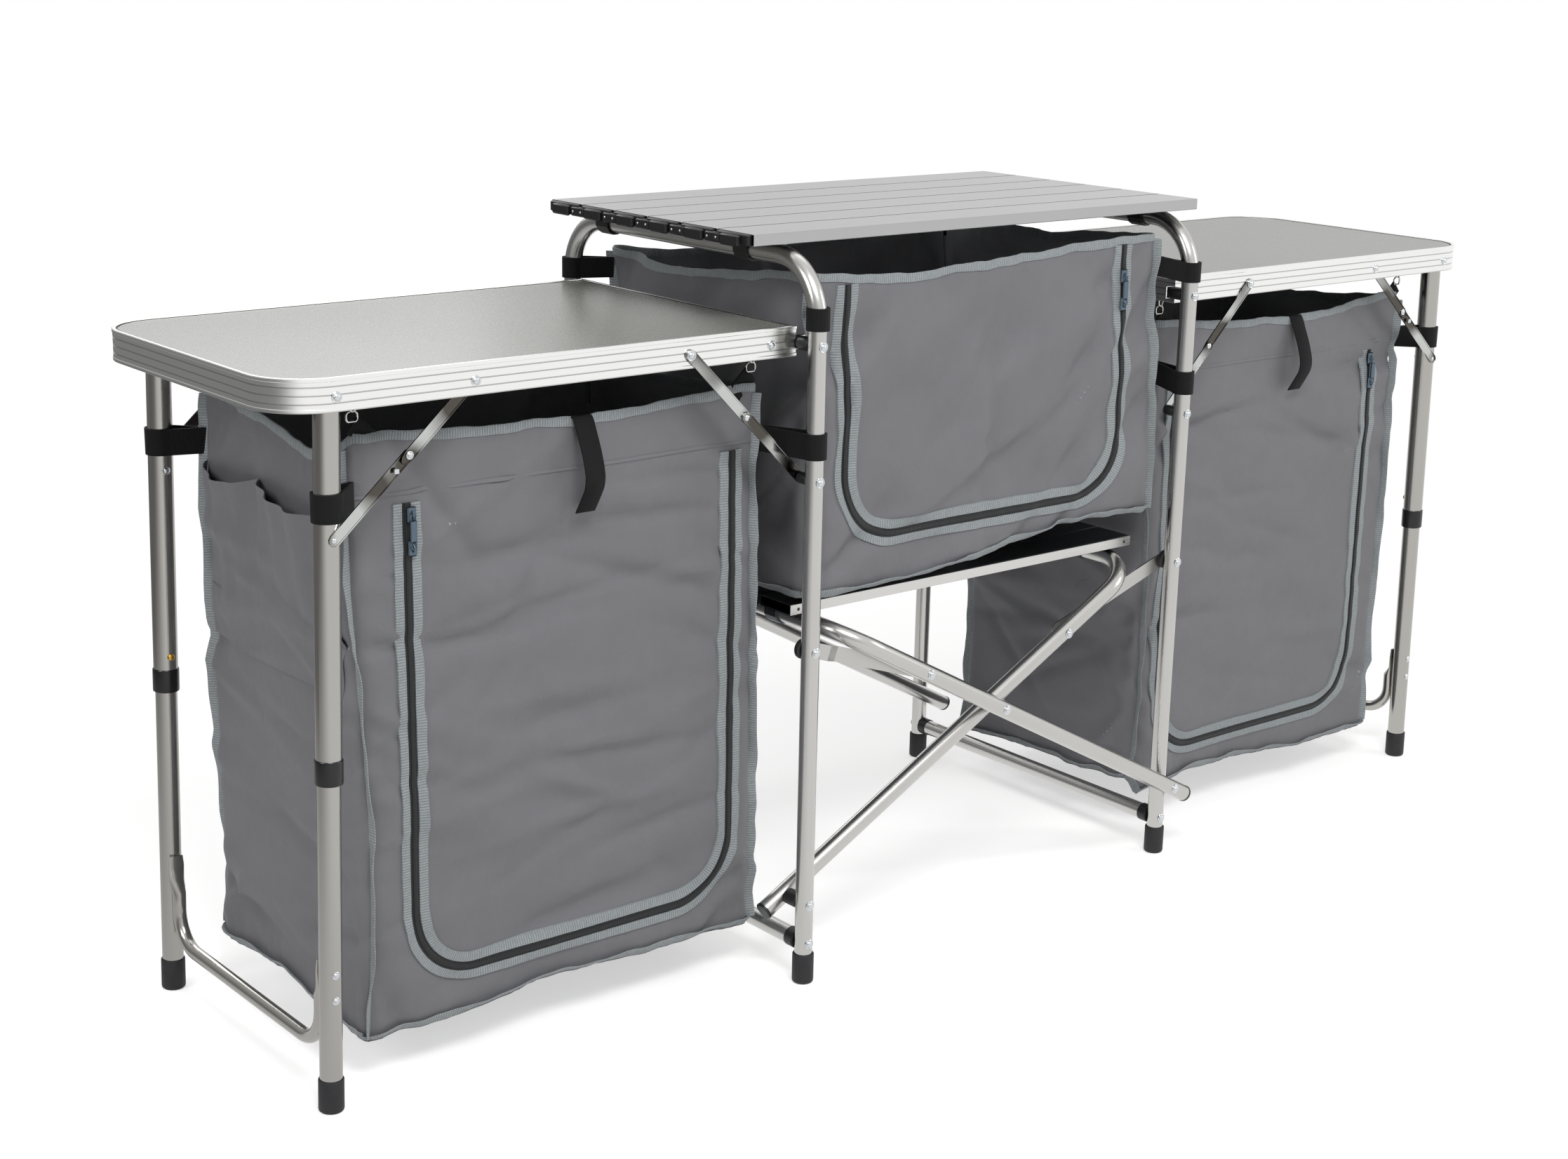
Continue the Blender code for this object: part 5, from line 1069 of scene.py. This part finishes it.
def ribbed_tape(name, dark, light, pitch):
    """Woven tape, webbing or zip coil: ribs across it, one every pitch metres,
    with a fuzz of fibres in its tone."""
    paint, tree, shader = new_finish(name, light, 0.0, 0.7)
    shader.inputs["Sheen Weight"].default_value = 0.15
    place = add_node(tree, "ShaderNodeTexCoord")
    ribs = add_node(tree, "ShaderNodeTexWave", {
        "Vector": place.outputs["UV"], "Scale": WAVE_PERIOD / pitch, "Distortion": 0.8, "Detail": 2.0},
        bands_direction="X")
    fuzz = add_node(tree, "ShaderNodeTexNoise", {
        "Vector": place.outputs["Object"], "Scale": 260.0, "Detail": 3.0})
    mixed = add_node(tree, "ShaderNodeMath", {
        0: ribs.outputs["Fac"], 1: fuzz.outputs["Fac"]}, operation="MULTIPLY")
    tone = add_node(tree, "ShaderNodeMix", {
        0: mixed.outputs[0], 6: linear(dark), 7: linear(light)}, data_type="RGBA")
    tree.links.new(tone.outputs[2], shader.inputs["Base Color"])
    bump = add_node(tree, "ShaderNodeBump", {
        "Height": ribs.outputs["Fac"], "Strength": 0.5, "Distance": 0.0005})
    tree.links.new(bump.outputs[0], shader.inputs["Normal"])
    worn = add_node(tree, "ShaderNodeMapRange", {
        "Value": fuzz.outputs["Fac"], "To Min": 0.62, "To Max": 0.82})
    tree.links.new(worn.outputs[0], shader.inputs["Roughness"])
    return paint


# The coated inner side is paler than the dyed outside, as it shows in the
# shade of the open cupboards. Ribs of 1.5 mm on the binding tape, coil teeth of
# 1.2 mm and webbing ribs of 1 mm are drawn coarser, at the pitches given, so
# that they show.
grey_cloth = fabric("coated_grey_polyester", "#6E6E72", "#7B7B7F", 1.0)
pale_lining = fabric("pale_coated_lining", "#97989C", "#A3A4A8", 0.8)
edge_tape = ribbed_tape("blue_grey_binding_tape", "#82888B", "#B9BEC1", 0.0031)
coil_black = ribbed_tape("black_zip_coil", "#0A0B0C", "#2A2D30", 0.0022)
webbing = ribbed_tape("black_webbing", "#070708", "#171719", 0.0018)
webbing_shader = webbing.node_tree.nodes["Principled BSDF"]
webbing_shader.inputs["Sheen Weight"].default_value = 0.02
webbing_shader.inputs["Specular IOR Level"].default_value = 0.25


def turned_in(part):
    """The same surface with its faces to the other side."""
    points, faces, corners, paints = part
    width = len(faces[0])
    square = np.asarray(corners).reshape(-1, width, 2)[:, ::-1].reshape(-1, 2)
    return points, [face[::-1] for face in faces], square, paints


def bag_shell(form):
    """Cloth of a bag: outer sheet from the rim down the walls and in over the
    floor, whose rings shrink to its middle and sag by 5 mm; the lining is the
    same sheet 1.2 mm further in, and a strip closes them at the rim."""
    around = form["around"]
    along = np.linspace(0, around, int(around / 0.0062), endpoint=False)
    along = np.concatenate([along, form["bends"] % around])
    along = np.unique(np.round(along, 5))
    ups = np.linspace(1, 0, int(round((form["rim"](0.3) - form["base"](0.3)) / 0.0064)))
    parts = []
    rims = []
    for lift, paint in ((0.0, 0), (-0.0012, 1)):
        wall = form["surface"](along[None, :], ups[:, None], lift)
        edge = wall[-1] + np.array([0, 0, -lift])
        centre = edge.mean(0)
        shares = np.array([0.97, 0.9, 0.75, 0.5, 0.25, 0.02])[:, None, None]
        floor = centre + (edge - centre) * shares
        floor[..., 2] -= 0.005 * np.sin(math.pi * shares[..., 0])
        sheet = np.vstack([wall, floor])
        cloth = [grid_part(sheet, wrap_v=True, paint=paint), cap_part(sheet[-1], paint)]
        parts += [turned_in(part) for part in cloth] if paint else cloth
        rims.append(wall[0])
    parts.append(grid_part(np.array([rims[1], rims[0]]), wrap_v=True, paint=1))
    return parts


def wall_band(form, path, section):
    """Strip that follows the wall along a path of (along, height) points, with
    a section of (sideways, lift) pairs; sideways is square to the path."""
    path = np.asarray(path, float)
    ahead = np.gradient(path, axis=0)
    ahead /= np.linalg.norm(ahead, axis=1)[:, None]
    section = np.asarray(section, float)
    along = path[:, :1] - ahead[:, 1:] * section[:, 0]
    height = path[:, 1:] + ahead[:, :1] * section[:, 0]
    low, high = form["base"](along), form["rim"](along)
    return capped(form["surface"](along, (height - low) / (high - low), section[:, 1]))


def flat_tape(start, end):
    """Section of a tape from start to end sideways, with rounded shoulders."""
    thick, root = 0.0022, -0.0004
    span = end - start
    return [(start, root), (start + span * 0.04, thick), (start + span * 0.5, thick * 1.12),
            (end - span * 0.04, thick), (end, root)]


def seam_fin(form, along, ups, reach, tilt, seed):
    """Bound seam that stands out from the wall at the given places: a strip
    reach wide, tilted and rippled along its length by a few slow waves."""
    thick = 0.0022
    dice = np.random.default_rng(seed)
    along, ups = np.broadcast_arrays(np.asarray(along, float), np.asarray(ups, float))
    foot = form["surface"](along, ups)
    away = form["surface"](along, ups, 0.01) - foot
    away /= np.linalg.norm(away, axis=1)[:, None]
    run = np.gradient(foot, axis=0)
    run /= np.linalg.norm(run, axis=1)[:, None]
    side = np.cross(run, away)
    length = np.concatenate([[0], np.cumsum(np.linalg.norm(np.diff(foot, axis=0), axis=1))])
    waves = sum(dice.uniform(0.3, 1.0) * np.sin(length * rate + dice.uniform(0, 6.3))
                for rate in (11, 23, 41, 77))
    lean = tilt + 0.20 * waves
    way = away * np.cos(lean)[:, None] + side * np.sin(lean)[:, None]
    flat = np.cross(run, way)
    wide = reach * (1 + 0.05 * np.sin(length * 60))
    section = np.array([(-0.25, -0.4), (0.1, -0.5), (0.85, -0.5), (1.0, -0.2), (1.0, 0.2),
                        (0.85, 0.5), (0.1, 0.5), (-0.25, 0.4)])
    rows = foot[:, None] + (section[:, 0] * wide[:, None])[..., None] * way[:, None]
    return capped(rows + (section[:, 1] * thick)[None, :, None] * flat[:, None])


def rim_binding(form):
    """Tape folded over the rim: down the outside, over the edge and down the
    inside, with a slightly uneven lower edge."""
    drop = 0.0095
    around = form["around"]
    along = np.linspace(0, around, int(around / 0.006), endpoint=False)
    high = form["rim"](along) - form["base"](along)
    section = np.array([(-drop, 0.0002), (-drop, 0.0012), (-0.001, 0.0014), (0.0010, 0.0004),
                        (0.0010, -0.0014), (-0.001, -0.0026), (-drop, -0.0024), (-drop, -0.0014)])
    ups = 1 + section[None, :, 0] / high[:, None]
    uneven = 0.0006 * np.sin(along * 90) + 0.0008 * np.sin(along * 37)
    ups[:, [0, 1, 6, 7]] += (uneven / high)[:, None]
    rows = form["surface"](along[:, None], ups, section[None, :, 1])
    return faced_out([grid_part(rows, wrap_u=True, wrap_v=True)])


def bag_seams(form, seed):
    """Binding of the four upright seams and of the floor seam."""
    parts = rim_binding(form)
    ups = np.linspace(0.985, 0.01, 90)
    for index, bend in enumerate(form["bends"]):
        sway = 0.008 * np.sin(ups * 5.2 + 0.6 + 1.9 * index)
        parts += seam_fin(form, bend + sway, ups, 0.0108, 0.25 * (-1) ** index, seed + index)
    floor = np.linspace(0, form["around"], 220)
    parts += seam_fin(form, floor, 0.004, 0.0092, -0.75, seed + 9)
    return parts


def zip_run(form):
    """U-shaped zip on the front wall: outer tape, coil and inner tape."""
    path = form["zip"]
    tapes = wall_band(form, path, flat_tape(0.0050, 0.0168))
    tapes += wall_band(form, path, flat_tape(-0.0158, -0.0050))
    coil = [(-0.0053, -0.0004), (-0.0050, 0.0015), (-0.0026, 0.0016), (-0.0022, 0.0028),
            (0.0, 0.0034), (0.0022, 0.0028), (0.0026, 0.0016), (0.0050, 0.0015), (0.0053, -0.0004)]
    return tapes, wall_band(form, path, coil)


def crumple_up(piece):
    """Gives the piece its own copy of its mesh."""
    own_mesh(piece)


def shifted(start, places):
    """Places (along, height) with start added to along."""
    return [(start + along, height) for along, height in places]


# Rims and floors of the side cupboards, which dip between the loops and hooks
# that hold them; the left one's outer end sags most.
SIDE_LOW, SIDE_HIGH, SIDE_HALF = 0.354, 0.891, 0.171
SIDE_WIDE = SIDE_HIGH - SIDE_LOW
front_rim = [(0.004, 0.729), (0.068, 0.727), (0.16, 0.722), (0.286, 0.719), (0.42, 0.723),
             (0.512, 0.729)]
side_rim = shifted(SIDE_WIDE, [(0.02, 0.727), (0.11, 0.714), (0.19, 0.707), (0.27, 0.714),
                               (0.325, 0.728)])
back_rim = shifted(SIDE_WIDE, [(0.36, 0.728), (0.6, 0.717)]) + [(2 * SIDE_WIDE + 0.31, 0.728)]
end_rim = shifted(2 * SIDE_WIDE, [(0.35, 0.728), (0.44, 0.708), (0.62, 0.725)])
dipped_rim = shifted(2 * SIDE_WIDE, [
    (0.35, 0.731), (0.40, 0.728), (0.47, 0.720), (0.54, 0.709), (0.575, 0.701), (0.592, 0.706),
    (0.635, 0.714), (0.67, 0.727)])
side_base = [(0.004, 0.050), (0.12, 0.056), (0.238, 0.064), (0.4, 0.062), (0.53, 0.056),
             (0.75, 0.070), (0.86, 0.066), (1.1, 0.068), (1.38, 0.066), (1.55, 0.072), (1.74, 0.052)]
side_forms = {
    "left": bag_form(-SIDE_HIGH, -SIDE_LOW, -SIDE_HALF - 0.018, SIDE_HALF - 0.018,
                     front_rim + side_rim + back_rim + dipped_rim, side_base, 11, 0.004,
                     zip_line(-SIDE_HIGH, [(-0.828, 0.652), (-0.828, 0.110), (-0.397, 0.110),
                                           (-0.397, 0.655)], 0.078)),
    "right": bag_form(SIDE_LOW, SIDE_HIGH, -SIDE_HALF + 0.018, SIDE_HALF + 0.018,
                      [(0.004, 0.733), (0.035, 0.731), (0.16, 0.722), (0.27, 0.717), (0.4, 0.722),
                       (0.500, 0.735)] + side_rim + back_rim + end_rim,
                      [(0.004, 0.078), (0.12, 0.070), (0.26, 0.062), (0.4, 0.056), (0.53, 0.054)]
                      + side_base[5:], 23, 0.004,
                      zip_line(SIDE_LOW, [(0.400, 0.655), (0.400, 0.112), (0.825, 0.112),
                                          (0.825, 0.652)], 0.078))}
for name, form in side_forms.items():
    body = f"{name}_table"
    shell = make_piece(f"{name}_cupboard_cloth", bag_shell(form), [grey_cloth, pale_lining],
                       body, [f"{name}_bag"], 60)
    seams = make_piece(f"{name}_cupboard_bindings", bag_seams(form, 100 if name == "left" else 200),
                       edge_tape, body, (), 50)
    tapes, coil = zip_run(form)
    zips = make_piece(f"{name}_zip_tapes", tapes, edge_tape, body, (), 50)
    teeth = make_piece(f"{name}_zip_coil", coil, coil_black, body, (), 50)
    hem_path = np.stack([np.linspace(0.004, SIDE_WIDE - 0.004, 90), np.full(90, 0.662)], 1)
    hem = wall_band(form, hem_path, [(-0.0012, -0.0004), (-0.0009, 0.0010), (0.0004, 0.0012),
                                     (0.0010, 0.0007), (0.0030, 0.0004), (0.0030, -0.0004)])
    hems = make_piece(f"{name}_hem_fold", hem, grey_cloth, body, (), 50)
    for cloth in (shell, seams, zips, teeth, hems):
        crumple_up(cloth)


# Zip sliders: die-cast zinc body with a bridge, painted blue-grey, and a flat
# pull on a small ring. Each zip has a moving slider and a second one parked
# below it.
def front_wall(form, x, z, lift):
    """Y of a cupboard's front wall at x and z, lift metres outside it."""
    along = x - form["low_x"]
    low, high = form["base"](along), form["rim"](along)
    return float(form["surface"](along, (z - low) / (high - low), lift)[1])


def slider_parts(form, x, z, up=1):
    """Body, bridge and pull tab of a slider that sits on the coil at (x, z)."""
    y = front_wall(form, x, z, 0.0040)
    parts = bevelled_block((x - 0.0052, y - 0.0036, z - 0.0085),
                           (x + 0.0052, y - 0.0006, z + 0.0085), 0.0012)
    bridge = [(x, y - 0.0034, z + 0.0040 * up), (x, y - 0.0060, z + 0.0026 * up),
              (x, y - 0.0064, z - 0.0010 * up), (x, y - 0.0034, z - 0.0048 * up)]
    parts += carry(circle(0.0010, 10), rounded_path(bridge, 0.0015, 4), (1, 0, 0))
    drop = -1 if up > 0 else 1
    ring = [(x - 0.0030, y - 0.0058, z), (x - 0.0030, y - 0.0052, z + drop * 0.0080),
            (x + 0.0030, y - 0.0052, z + drop * 0.0080), (x + 0.0030, y - 0.0058, z)]
    parts += carry(circle(0.0006, 8), rounded_path(ring, 0.0020, 4), (0, 1, 0), closed=True)
    low, high = sorted((z + drop * 0.0070, z + drop * 0.0300))
    parts += bevelled_block((x - 0.0038, y - 0.0062, low), (x + 0.0038, y - 0.0046, high), 0.0007)
    return parts


# The worn paint lets the zinc shine through.
slider_paint = worn_finish("painted_die_cast_zinc", "#5C6C79", 0.6, 0.34, 500.0, 0.26, 0.44)
for name, x in (("left", -0.8245), ("right", 0.8222)):
    form = side_forms[name]
    moving = make_piece(f"{name}_zip_slider_and_pull", slider_parts(form, x, 0.640),
                        slider_paint, f"{name}_zip", [f"{name}_zip_slider"])
    crumple_up(moving)
    parked = make_piece(f"{name}_parked_slider", slider_parts(form, x, 0.604, -1),
                        slider_paint, f"{name}_table")
    crumple_up(parked)


# Organiser pockets: a second sheet sewn to the outer end of the left
# cupboard, open at the top, where it gapes in two pleated mouths. Share runs
# along the pockets from their rear seam, rise from their foot up.
form = side_forms["left"]
end_start, end_stop = form["bends"][2] + 0.014, form["bends"][3] - 0.016
pocket_s = np.linspace(end_start, end_stop, 84)
share = (pocket_s - end_start) / (end_stop - end_start)
seam_share = 0.42
pocket_low = 0.443
mouth = np.where(share < seam_share, np.sin(math.pi * share / seam_share),
                 np.sin(math.pi * (share - seam_share) / (1 - seam_share)))
mouth = np.abs(mouth) ** 0.7
top_z = 0.646 - 0.007 * mouth - 0.004 * np.sin(share * 3 * math.pi)
rise = np.linspace(0, 1, 56)[:, None]
pocket_z = pocket_low + (top_z - pocket_low) * rise
gape = 0.0012 + 0.020 * mouth * rise ** 2.4
pleats = 0.0035 * np.sin(share * 2 * math.pi * 6.5 + 1.2 * rise) * rise ** 1.5 * np.sqrt(mouth)
sag = 0.0045 * np.sin(math.pi * rise) * np.sin(share * math.pi)
low, high = form["base"](pocket_s), form["rim"](pocket_s)
inner, outer = (
    form["surface"](pocket_s[None, :], (pocket_z - low) / (high - low),
                    np.clip(gape + pleats + sag, 0.0012, None) + lift)[::-1]
    for lift in (0.0, 0.0010))
pocket_parts = [grid_part(outer), turned_in(grid_part(inner)),
                grid_part(np.array([inner[0], outer[0]])),
                turned_in(grid_part(np.array([inner[-1], outer[-1]]))),
                turned_in(grid_part(np.array([inner[:, 0], outer[:, 0]]))),
                grid_part(np.array([inner[:, -1], outer[:, -1]]))]
pocket = make_piece("left_organiser_pockets", pocket_parts, grey_cloth, "left_table", (), 60)
stitched = []
for level, lift in ((0.505, 0.0042), (0.447, 0.0016)):
    path = np.stack([pocket_s[2:-2], np.full(80, level)], 1)
    stitched += wall_band(form, path, [(-0.0011, lift - 0.001), (-0.0007, lift + 0.0006),
                                       (0.0007, lift + 0.0006), (0.0011, lift - 0.001)])
stitch_line = make_piece("left_pocket_seams", stitched, grey_cloth, "left_table", (), 50)
for cloth in (pocket, stitch_line):
    crumple_up(cloth)


# Centre cupboard: hung between the two U frames above the shelf, with a wide
# U-shaped zip. Its floor rises to the right, where the cloth is pulled up.
CENTRE_LOW, CENTRE_HIGH = -0.292, 0.298


def draw_together(piece):
    """Gives the piece its own copy of its mesh."""
    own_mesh(piece)


centre_form = bag_form(
    CENTRE_LOW, CENTRE_HIGH, -0.203, 0.205,
    [(0.004, 0.850), (0.058, 0.846), (0.15, 0.842), (0.27, 0.847), (0.42, 0.856), (0.535, 0.861),
     (0.582, 0.863), (0.62, 0.858), (0.78, 0.842), (0.96, 0.846), (1.0, 0.840), (1.25, 0.827),
     (1.5, 0.828), (1.56, 0.838), (1.70, 0.828), (1.80, 0.834), (1.88, 0.846)],
    [(0.004, 0.462), (0.03, 0.461), (0.15, 0.465), (0.29, 0.472), (0.38, 0.488), (0.47, 0.497),
     (0.58, 0.490), (0.80, 0.480), (1.0, 0.482), (1.28, 0.470), (1.55, 0.466), (1.75, 0.460)],
    37, 0.003, zip_line(CENTRE_LOW, [(-0.240, 0.8365), (-0.240, 0.527), (0.228, 0.527),
                                     (0.228, 0.8515)], 0.082), lean=0.85, flare=0.012)
centre_shell = make_piece("centre_cupboard_cloth", bag_shell(centre_form), [grey_cloth, pale_lining],
                          "left_frame", ["centre_bag"], 60)
centre_seams = make_piece("centre_cupboard_bindings", bag_seams(centre_form, 300), edge_tape,
                          "left_frame", (), 50)
tapes, coil = zip_run(centre_form)
centre_tapes = make_piece("centre_zip_tapes", tapes, edge_tape, "left_frame", (), 50)
centre_coil = make_piece("centre_zip_coil", coil, coil_black, "left_frame", (), 50)
x = 0.2262
centre_moving = make_piece("centre_zip_slider_and_pull", slider_parts(centre_form, x, 0.812),
                           slider_paint, "centre_zip", ["centre_zip_slider"])
draw_together(centre_moving)
centre_parked = make_piece("centre_parked_slider", slider_parts(centre_form, x, 0.776, -1),
                           slider_paint, "left_frame")
for cloth in (centre_shell, centre_seams, centre_tapes, centre_coil, centre_parked):
    draw_together(cloth)


# Webbing: black polypropylene loops hold the cupboards to the legs; each runs
# round its tube and back into the bound corner of the bag.
LOOP_Z, CENTRE_LOOP_Z = 0.6655, 0.812


def webbing_loop(tube_spot, radius, corner_spot, middle, tall, twist=0.0):
    """Teardrop band: an arc of 250 degrees round the tube, then two strands
    that meet at the corner of the bag."""
    thick = 0.0026
    tube_spot, corner_spot = np.asarray(tube_spot, float), np.asarray(corner_spot, float)
    way = corner_spot - tube_spot
    heading = math.atan2(way[1], way[0])
    turns = heading + np.radians(np.linspace(55, 305, 26))
    size = radius + 0.0002 + thick / 2
    arc = tube_spot + size * np.stack([np.cos(turns), np.sin(turns)], 1)
    square_to = np.array([[way[1], -way[0]], [-way[1], way[0]]]) / np.linalg.norm(way)
    closing = corner_spot + 0.0012 * square_to
    first = arc[-1] + (closing[0] - arc[-1]) * np.linspace(0.1, 1, 6)[:, None]
    second = closing[1] + (arc[0] - closing[1]) * np.linspace(0, 0.9, 6)[:, None]
    line = np.vstack([arc, first, second])
    away = np.linalg.norm(line - tube_spot, axis=1) - size
    path = np.column_stack([line, middle + twist * away])
    half, side, edge = tall / 2, thick / 2, 0.0004
    section = [(-half, -side), (edge - half, -side), (half - edge, -side), (half, -side),
               (half, side), (half - edge, side), (edge - half, side), (-half, side)]
    return carry(section, path, (0, 0, 1), closed=True)


for name, side in SIDES.items():
    inner_loops = []
    outer_loops = []
    for way, frame_y in zip((-1, 1), FRAME_Y[name]):
        y_edge = MIDDLE_Y[name] + way * (SIDE_HALF - 0.005)
        inner_loops += webbing_loop((side * FRAME_X, frame_y), FRAME_TUBE,
                                    (side * (SIDE_LOW + 0.006), y_edge), LOOP_Z, 0.030)
        leg_spot = leg_point(name, 0, way * LEG_SIDE_Y, HINGE_Z - LOOP_Z)
        outer_loops += webbing_loop(leg_spot[:2], UPPER_RADIUS, (side * (SIDE_HIGH - 0.004), y_edge),
                                    LOOP_Z, 0.030)
    inner_piece = make_piece(f"{name}_inner_leg_loops", inner_loops, webbing, f"{name}_table", (), 50)
    outer_piece = make_piece(f"{name}_outer_leg_loops", outer_loops, webbing, f"{name}_table", (), 50)
    for cloth in (inner_piece, outer_piece):
        crumple_up(cloth)
for name, side in SIDES.items():
    loops = []
    for corner_y, frame_y in zip((-0.198, 0.200), FRAME_Y[name]):
        loops += webbing_loop((side * FRAME_X, frame_y), FRAME_TUBE, (side * 0.290, corner_y),
                              CENTRE_LOOP_Z, 0.026, twist=0.0 if name == "left" else 0.25)
    piece = make_piece(f"{name}_centre_bag_loops", loops, webbing, "left_frame", (), 50)
    draw_together(piece)


# Tie straps and corner hooks: a black webbing strap hangs over each front,
# and tabs at the rim hang on bent wire hooks screwed under the tables.
def strap_section(wide):
    """Flat strap with rounded edges, as (across the strap, through it)."""
    half, side, edge = wide / 2, 0.00095, 0.000665
    return [(-half, edge - side), (edge - half, -side), (half - edge, -side), (half, edge - side),
            (half, side - edge), (half - edge, side), (edge - half, side), (-half, side - edge)]


# Nickel plating is as bright as zinc but a little warmer.
hook_wire = worn_finish("nickel_plated_wire", "#D3D3CF", 1.0, 0.18, 700.0, 0.12, 0.30)
turned_strap = [(through, across) for across, through in strap_section(0.022)]
hook_plate = [(0.0020, 0.0), (0.0055, 0.0004), (0.0055, 0.0012), (0.0020, 0.0022)]
for name, strap_x, strap_end in (("left", -0.612, 0.615), ("right", 0.638, 0.614)):
    form = side_forms[name]
    side = SIDES[name]
    high = float(form["rim"](strap_x - form["low_x"]))
    wall = front_wall(form, strap_x, high - 0.012, 0.0)
    # The strap's bow as (y, z): over the rim from inside, down and back in.
    bow = [(wall + 0.0030, high - 0.016), (wall + 0.0028, high - 0.002), (wall - 0.0010, high + 0.0022),
           (wall - 0.0046, high - 0.002), (wall - 0.010, high - 0.016), (wall - 0.020, high - 0.038),
           (wall - 0.027, high - 0.060), (wall - 0.0265, high - 0.074),
           (wall - 0.019, strap_end + 0.016), (wall - 0.010, strap_end)]
    bow = np.array(bow)
    steps = np.linspace(0, len(bow) - 1, 40)
    smooth = np.stack([np.interp(steps, np.arange(len(bow)), bow[:, k]) for k in (0, 1)], 1)
    for _ in range(3):
        smooth[1:-1] = (smooth[:-2] + 2 * smooth[1:-1] + smooth[2:]) / 4
    path = np.column_stack([np.full(40, strap_x) + 0.004 * np.sin(steps / 3.2), smooth])
    strap = make_piece(f"{name}_tie_strap", carry(strap_section(0.026), path, (1, 0, 0)), webbing,
                       f"{name}_table", (), 50)
    crumple_up(strap)
    tabs = []
    wires = []
    for way in (-1, 1):
        y = MIDDLE_Y[name] + way * 0.1655
        for inward, x in ((-1, 0.8840), (1, 0.3660)):
            tab = [(side * (x + inward * shift), y, z) for shift, z in (
                (0.0, 0.7405), (0.012, 0.7300), (0.024, 0.7190), (0.030, 0.7040))]
            tabs += carry(turned_strap, rounded_path(tab, 0.02, 5), (0, 1, 0))
            loop = [(side * (x + shift), y, z) for shift, z in (
                (0.0, 0.7410), (0.0065, 0.7440), (0.0065, 0.7520), (0.0, 0.7550),
                (-0.0065, 0.7520), (-0.0065, 0.7440), (0.0, 0.7410))]
            rounds = rounded_path(loop, 0.0040, 5)[1:-1]
            wires += carry(circle(0.0011, 10), rounds, (0, 1, 0), closed=True)
            hook_y = y + way * 0.002
            hook = [(side * (x + shift), hook_y, z) for shift, z in (
                (0.004, 0.7600), (0.001, 0.7530), (-0.004, 0.7560), (-0.004, 0.7965))]
            wires += carry(circle(0.0012, 10), rounded_path(hook, 0.0022, 5), (0, 1, 0))
            wires += revolve(hook_plate, (side * (x - 0.004), hook_y, 0.7968), (0, 0, -1), 16)
    tab_piece = make_piece(f"{name}_corner_tabs", tabs, webbing, f"{name}_table", (), 50)
    crumple_up(tab_piece)
    make_piece(f"{name}_corner_hooks", wires, hook_wire, f"{name}_table", (), 50)
